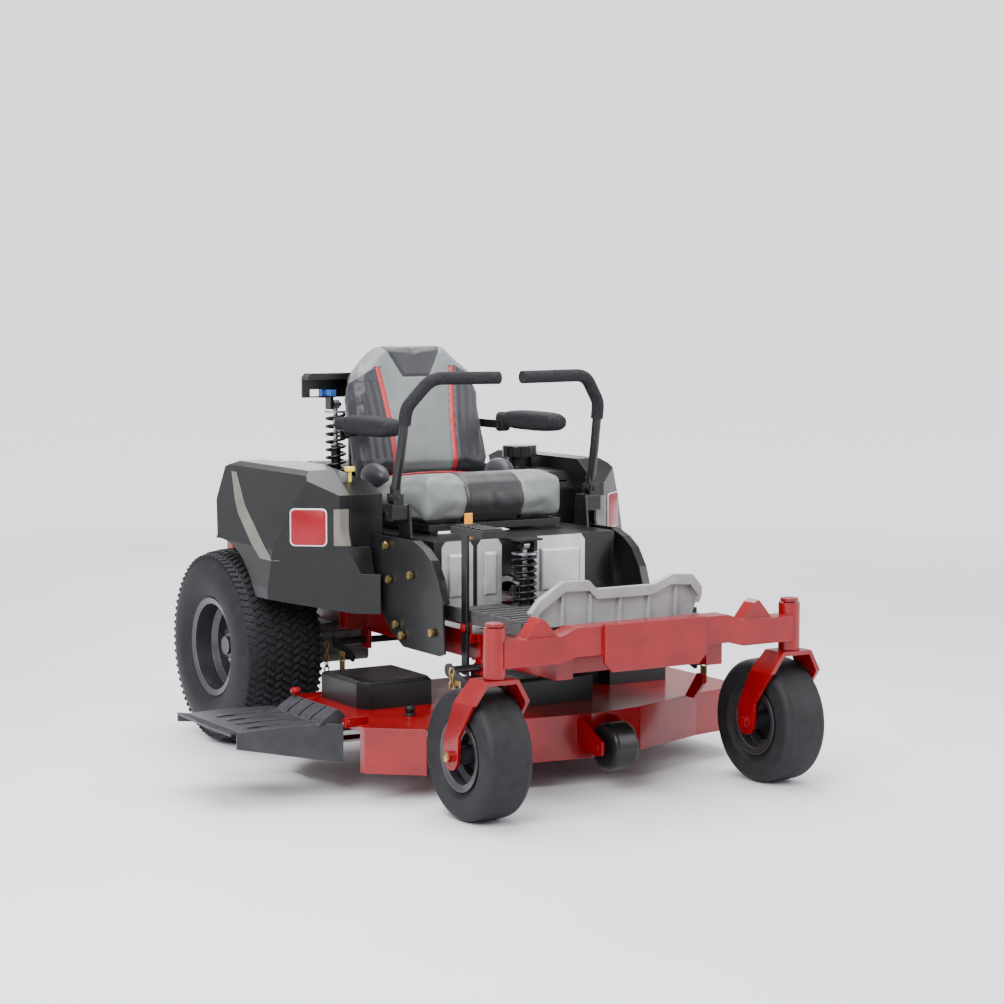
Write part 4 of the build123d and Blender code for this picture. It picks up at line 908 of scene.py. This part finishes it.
def wire_loop(name, centre, half_wide, half_tall, wire, quarter, material, body):
    """One chain link: a closed loop of round wire standing upright."""
    points = []
    for k in range(12):
        angle = 2 * math.pi * k / 12
        wide = half_wide * math.cos(angle)
        tall = half_tall * math.sin(angle)
        points.append(centre + (Vector((wide, 0, tall)) if quarter else Vector((0, wide, tall))) * MM)
    line = bpy.data.curves.new(name, "CURVE")
    line.dimensions = "3D"
    spline = line.splines.new("NURBS")
    spline.points.add(len(points) - 1)
    for knot, place in zip(spline.points, points):
        knot.co = (*place, 1)
    spline.order_u = 4
    spline.use_cyclic_u = True
    spline.resolution_u = 3
    line.bevel_depth = wire * MM
    line.bevel_resolution = 2
    link = bpy.data.objects.new(name, line)
    bpy.context.scene.collection.objects.link(link)
    choose(link)
    bpy.ops.object.convert(target="MESH")
    return finish(bpy.context.object, name, material, body, smooth=60)


LINK_PITCH = 17
LINK_HALF_WIDE = 7
LINK_HALF_TALL = 12
LINK_WIRE = 2.2
CHAINS = {
    "front_right": (-392, -385, 340, 296),
    "front_left": (392, -385, 340, 296),
    "rear_right": (-344, 415, 300, 216),
    "rear_left": (344, 415, 300, 216),
}
for corner, (x, y, top, foot) in CHAINS.items():
    count = max(2, round((top - foot) / LINK_PITCH))
    for k in range(count):
        wire_loop(f"chain_{corner}_{k + 1}", at(x, y, top - LINK_HALF_TALL - LINK_PITCH * k), LINK_HALF_WIDE,
                  LINK_HALF_TALL, LINK_WIRE, k % 2 == 0, zinc, "deck")
print("chains done")

# %% [markdown]
# The washout fitting on the deck takes a garden hose. It is a turned body with a wider
# collar, made by extruding a disc in steps. A red knob made the same way is on the chute.

# %% Washout fitting and deflector knob


def turned(name, place, steps, material, body, axis="Z", sides=24):
    """A turned piece: a disc extruded through (radius, length) steps from a place."""
    deselect()
    bpy.ops.mesh.primitive_circle_add(vertices=sides, radius=steps[0][0] * MM, fill_type="NGON")
    piece = bpy.context.object
    pick_faces(piece, lambda face: True)
    last = steps[0][0]
    for radius, length in steps:
        scale = radius / last
        if abs(scale - 1) > 0.001:
            bpy.ops.mesh.extrude_region_move(TRANSFORM_OT_translate={"value": (0, 0, 0)})
            bpy.ops.transform.resize(value=(scale, scale, 1))
        bpy.ops.mesh.extrude_region_move(TRANSFORM_OT_translate={"value": (0, 0, length * MM)})
        last = radius
    bpy.ops.mesh.select_all(action="SELECT")
    bpy.ops.mesh.remove_doubles(threshold=0.00001)
    bpy.ops.mesh.normals_make_consistent(inside=False)
    bpy.ops.object.mode_set(mode="OBJECT")
    bevelled(piece, 0.8, 2, angle=40)
    turn = {"Z": Matrix.Identity(4), "X": Matrix.Rotation(math.radians(90), 4, "Y"),
            "-X": Matrix.Rotation(math.radians(-90), 4, "Y"),
            "-Y": Matrix.Rotation(math.radians(90), 4, "X")}[axis]
    piece.matrix_world = Matrix.Translation(place) @ turn
    return finish(piece, name, material, body, smooth=40)


turned("washout_fitting", at(-420, -215, 193), [(15, 4), (11, 8), (14, 10), (9, 3)], pod_plastic, "deck")
found, place, normal, _ = nodes["chute"].ray_cast(at(-650, -7, 500), Vector((0, 0, -1)), distance=0.6)
sunk = Vector((0, 0, 2 * MM))
turned("deflector_knob", place - sunk, [(6, 8), (12, 3), (14, 9), (10, 3)], badge_red, "chute")
print("deck fittings done")

# %% [markdown]
# Each caster's axle is held by a nut outside its fork, and five nuts hold each drive
# wheel. The nuts are six-sided turned pieces with a washer face.

# %% Axle and wheel nuts
LUG_CIRCLE = 57
for side, name in ((-1, "right"), (1, "left")):
    low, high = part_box(f"caster_fork_{name}")
    axle = middle(f"caster_rim_{name}")
    out = "-X" if side < 0 else "X"
    outer = low.x if side < 0 else high.x
    turned(f"caster_nut_{name}", Vector((outer - side * 4 * MM, axle.y, axle.z)), [(15, 2), (12.5, 6)], zinc,
           f"caster_fork_{name}", axis=out, sides=6)
    hub = middle(f"drive_rim_{name}")
    for k in range(5):
        angle = 2 * math.pi * k / 5 + 0.3
        across = LUG_CIRCLE * MM * math.cos(angle)
        rise = LUG_CIRCLE * MM * math.sin(angle)
        spot = Vector((hub.x, hub.y + across, hub.z + rise))
        found, place, normal, _ = nodes[f"drive_rim_{name}"].ray_cast(
            spot + Vector((side * 0.3, 0, 0)), Vector((-side, 0, 0)), distance=0.6)
        if found:
            turned(f"lug_nut_{name}_{k + 1}", place, [(11, 2), (9.5, 11), (6.5, 2)], bright_steel,
                   f"drive_wheel_{name}", axis=out, sides=6)
print("nuts done")

# %% [markdown]
# The two coil springs shorten as the platform sinks. Each is a copy of its CAD coil that
# flattens toward its lower seat while the damper's rod slides in. The strokes are in millimetres.

# %% Coil springs that compress
STROKES = {"front": 22.77, "rear": 62.18}
for name, stroke in STROKES.items():
    low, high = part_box(f"{name}_spring")
    coil = nodes[f"{name}_spring"].copy()
    coil.data = nodes[f"{name}_spring"].data.copy()
    bpy.context.scene.collection.objects.link(coil)
    coil.parent = None
    coil.matrix_world = nodes[f"{name}_spring"].matrix_world.copy()
    for key in list(coil.keys()):
        del coil[key]
    finish(coil, f"coil_spring_{name}", black_coat, f"{name}_damper", smooth=60)
    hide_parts(f"{name}_spring")
    foot = ((low.x + high.x) / 2, (low.y + high.y) / 2, low.z)
    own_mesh(coil)
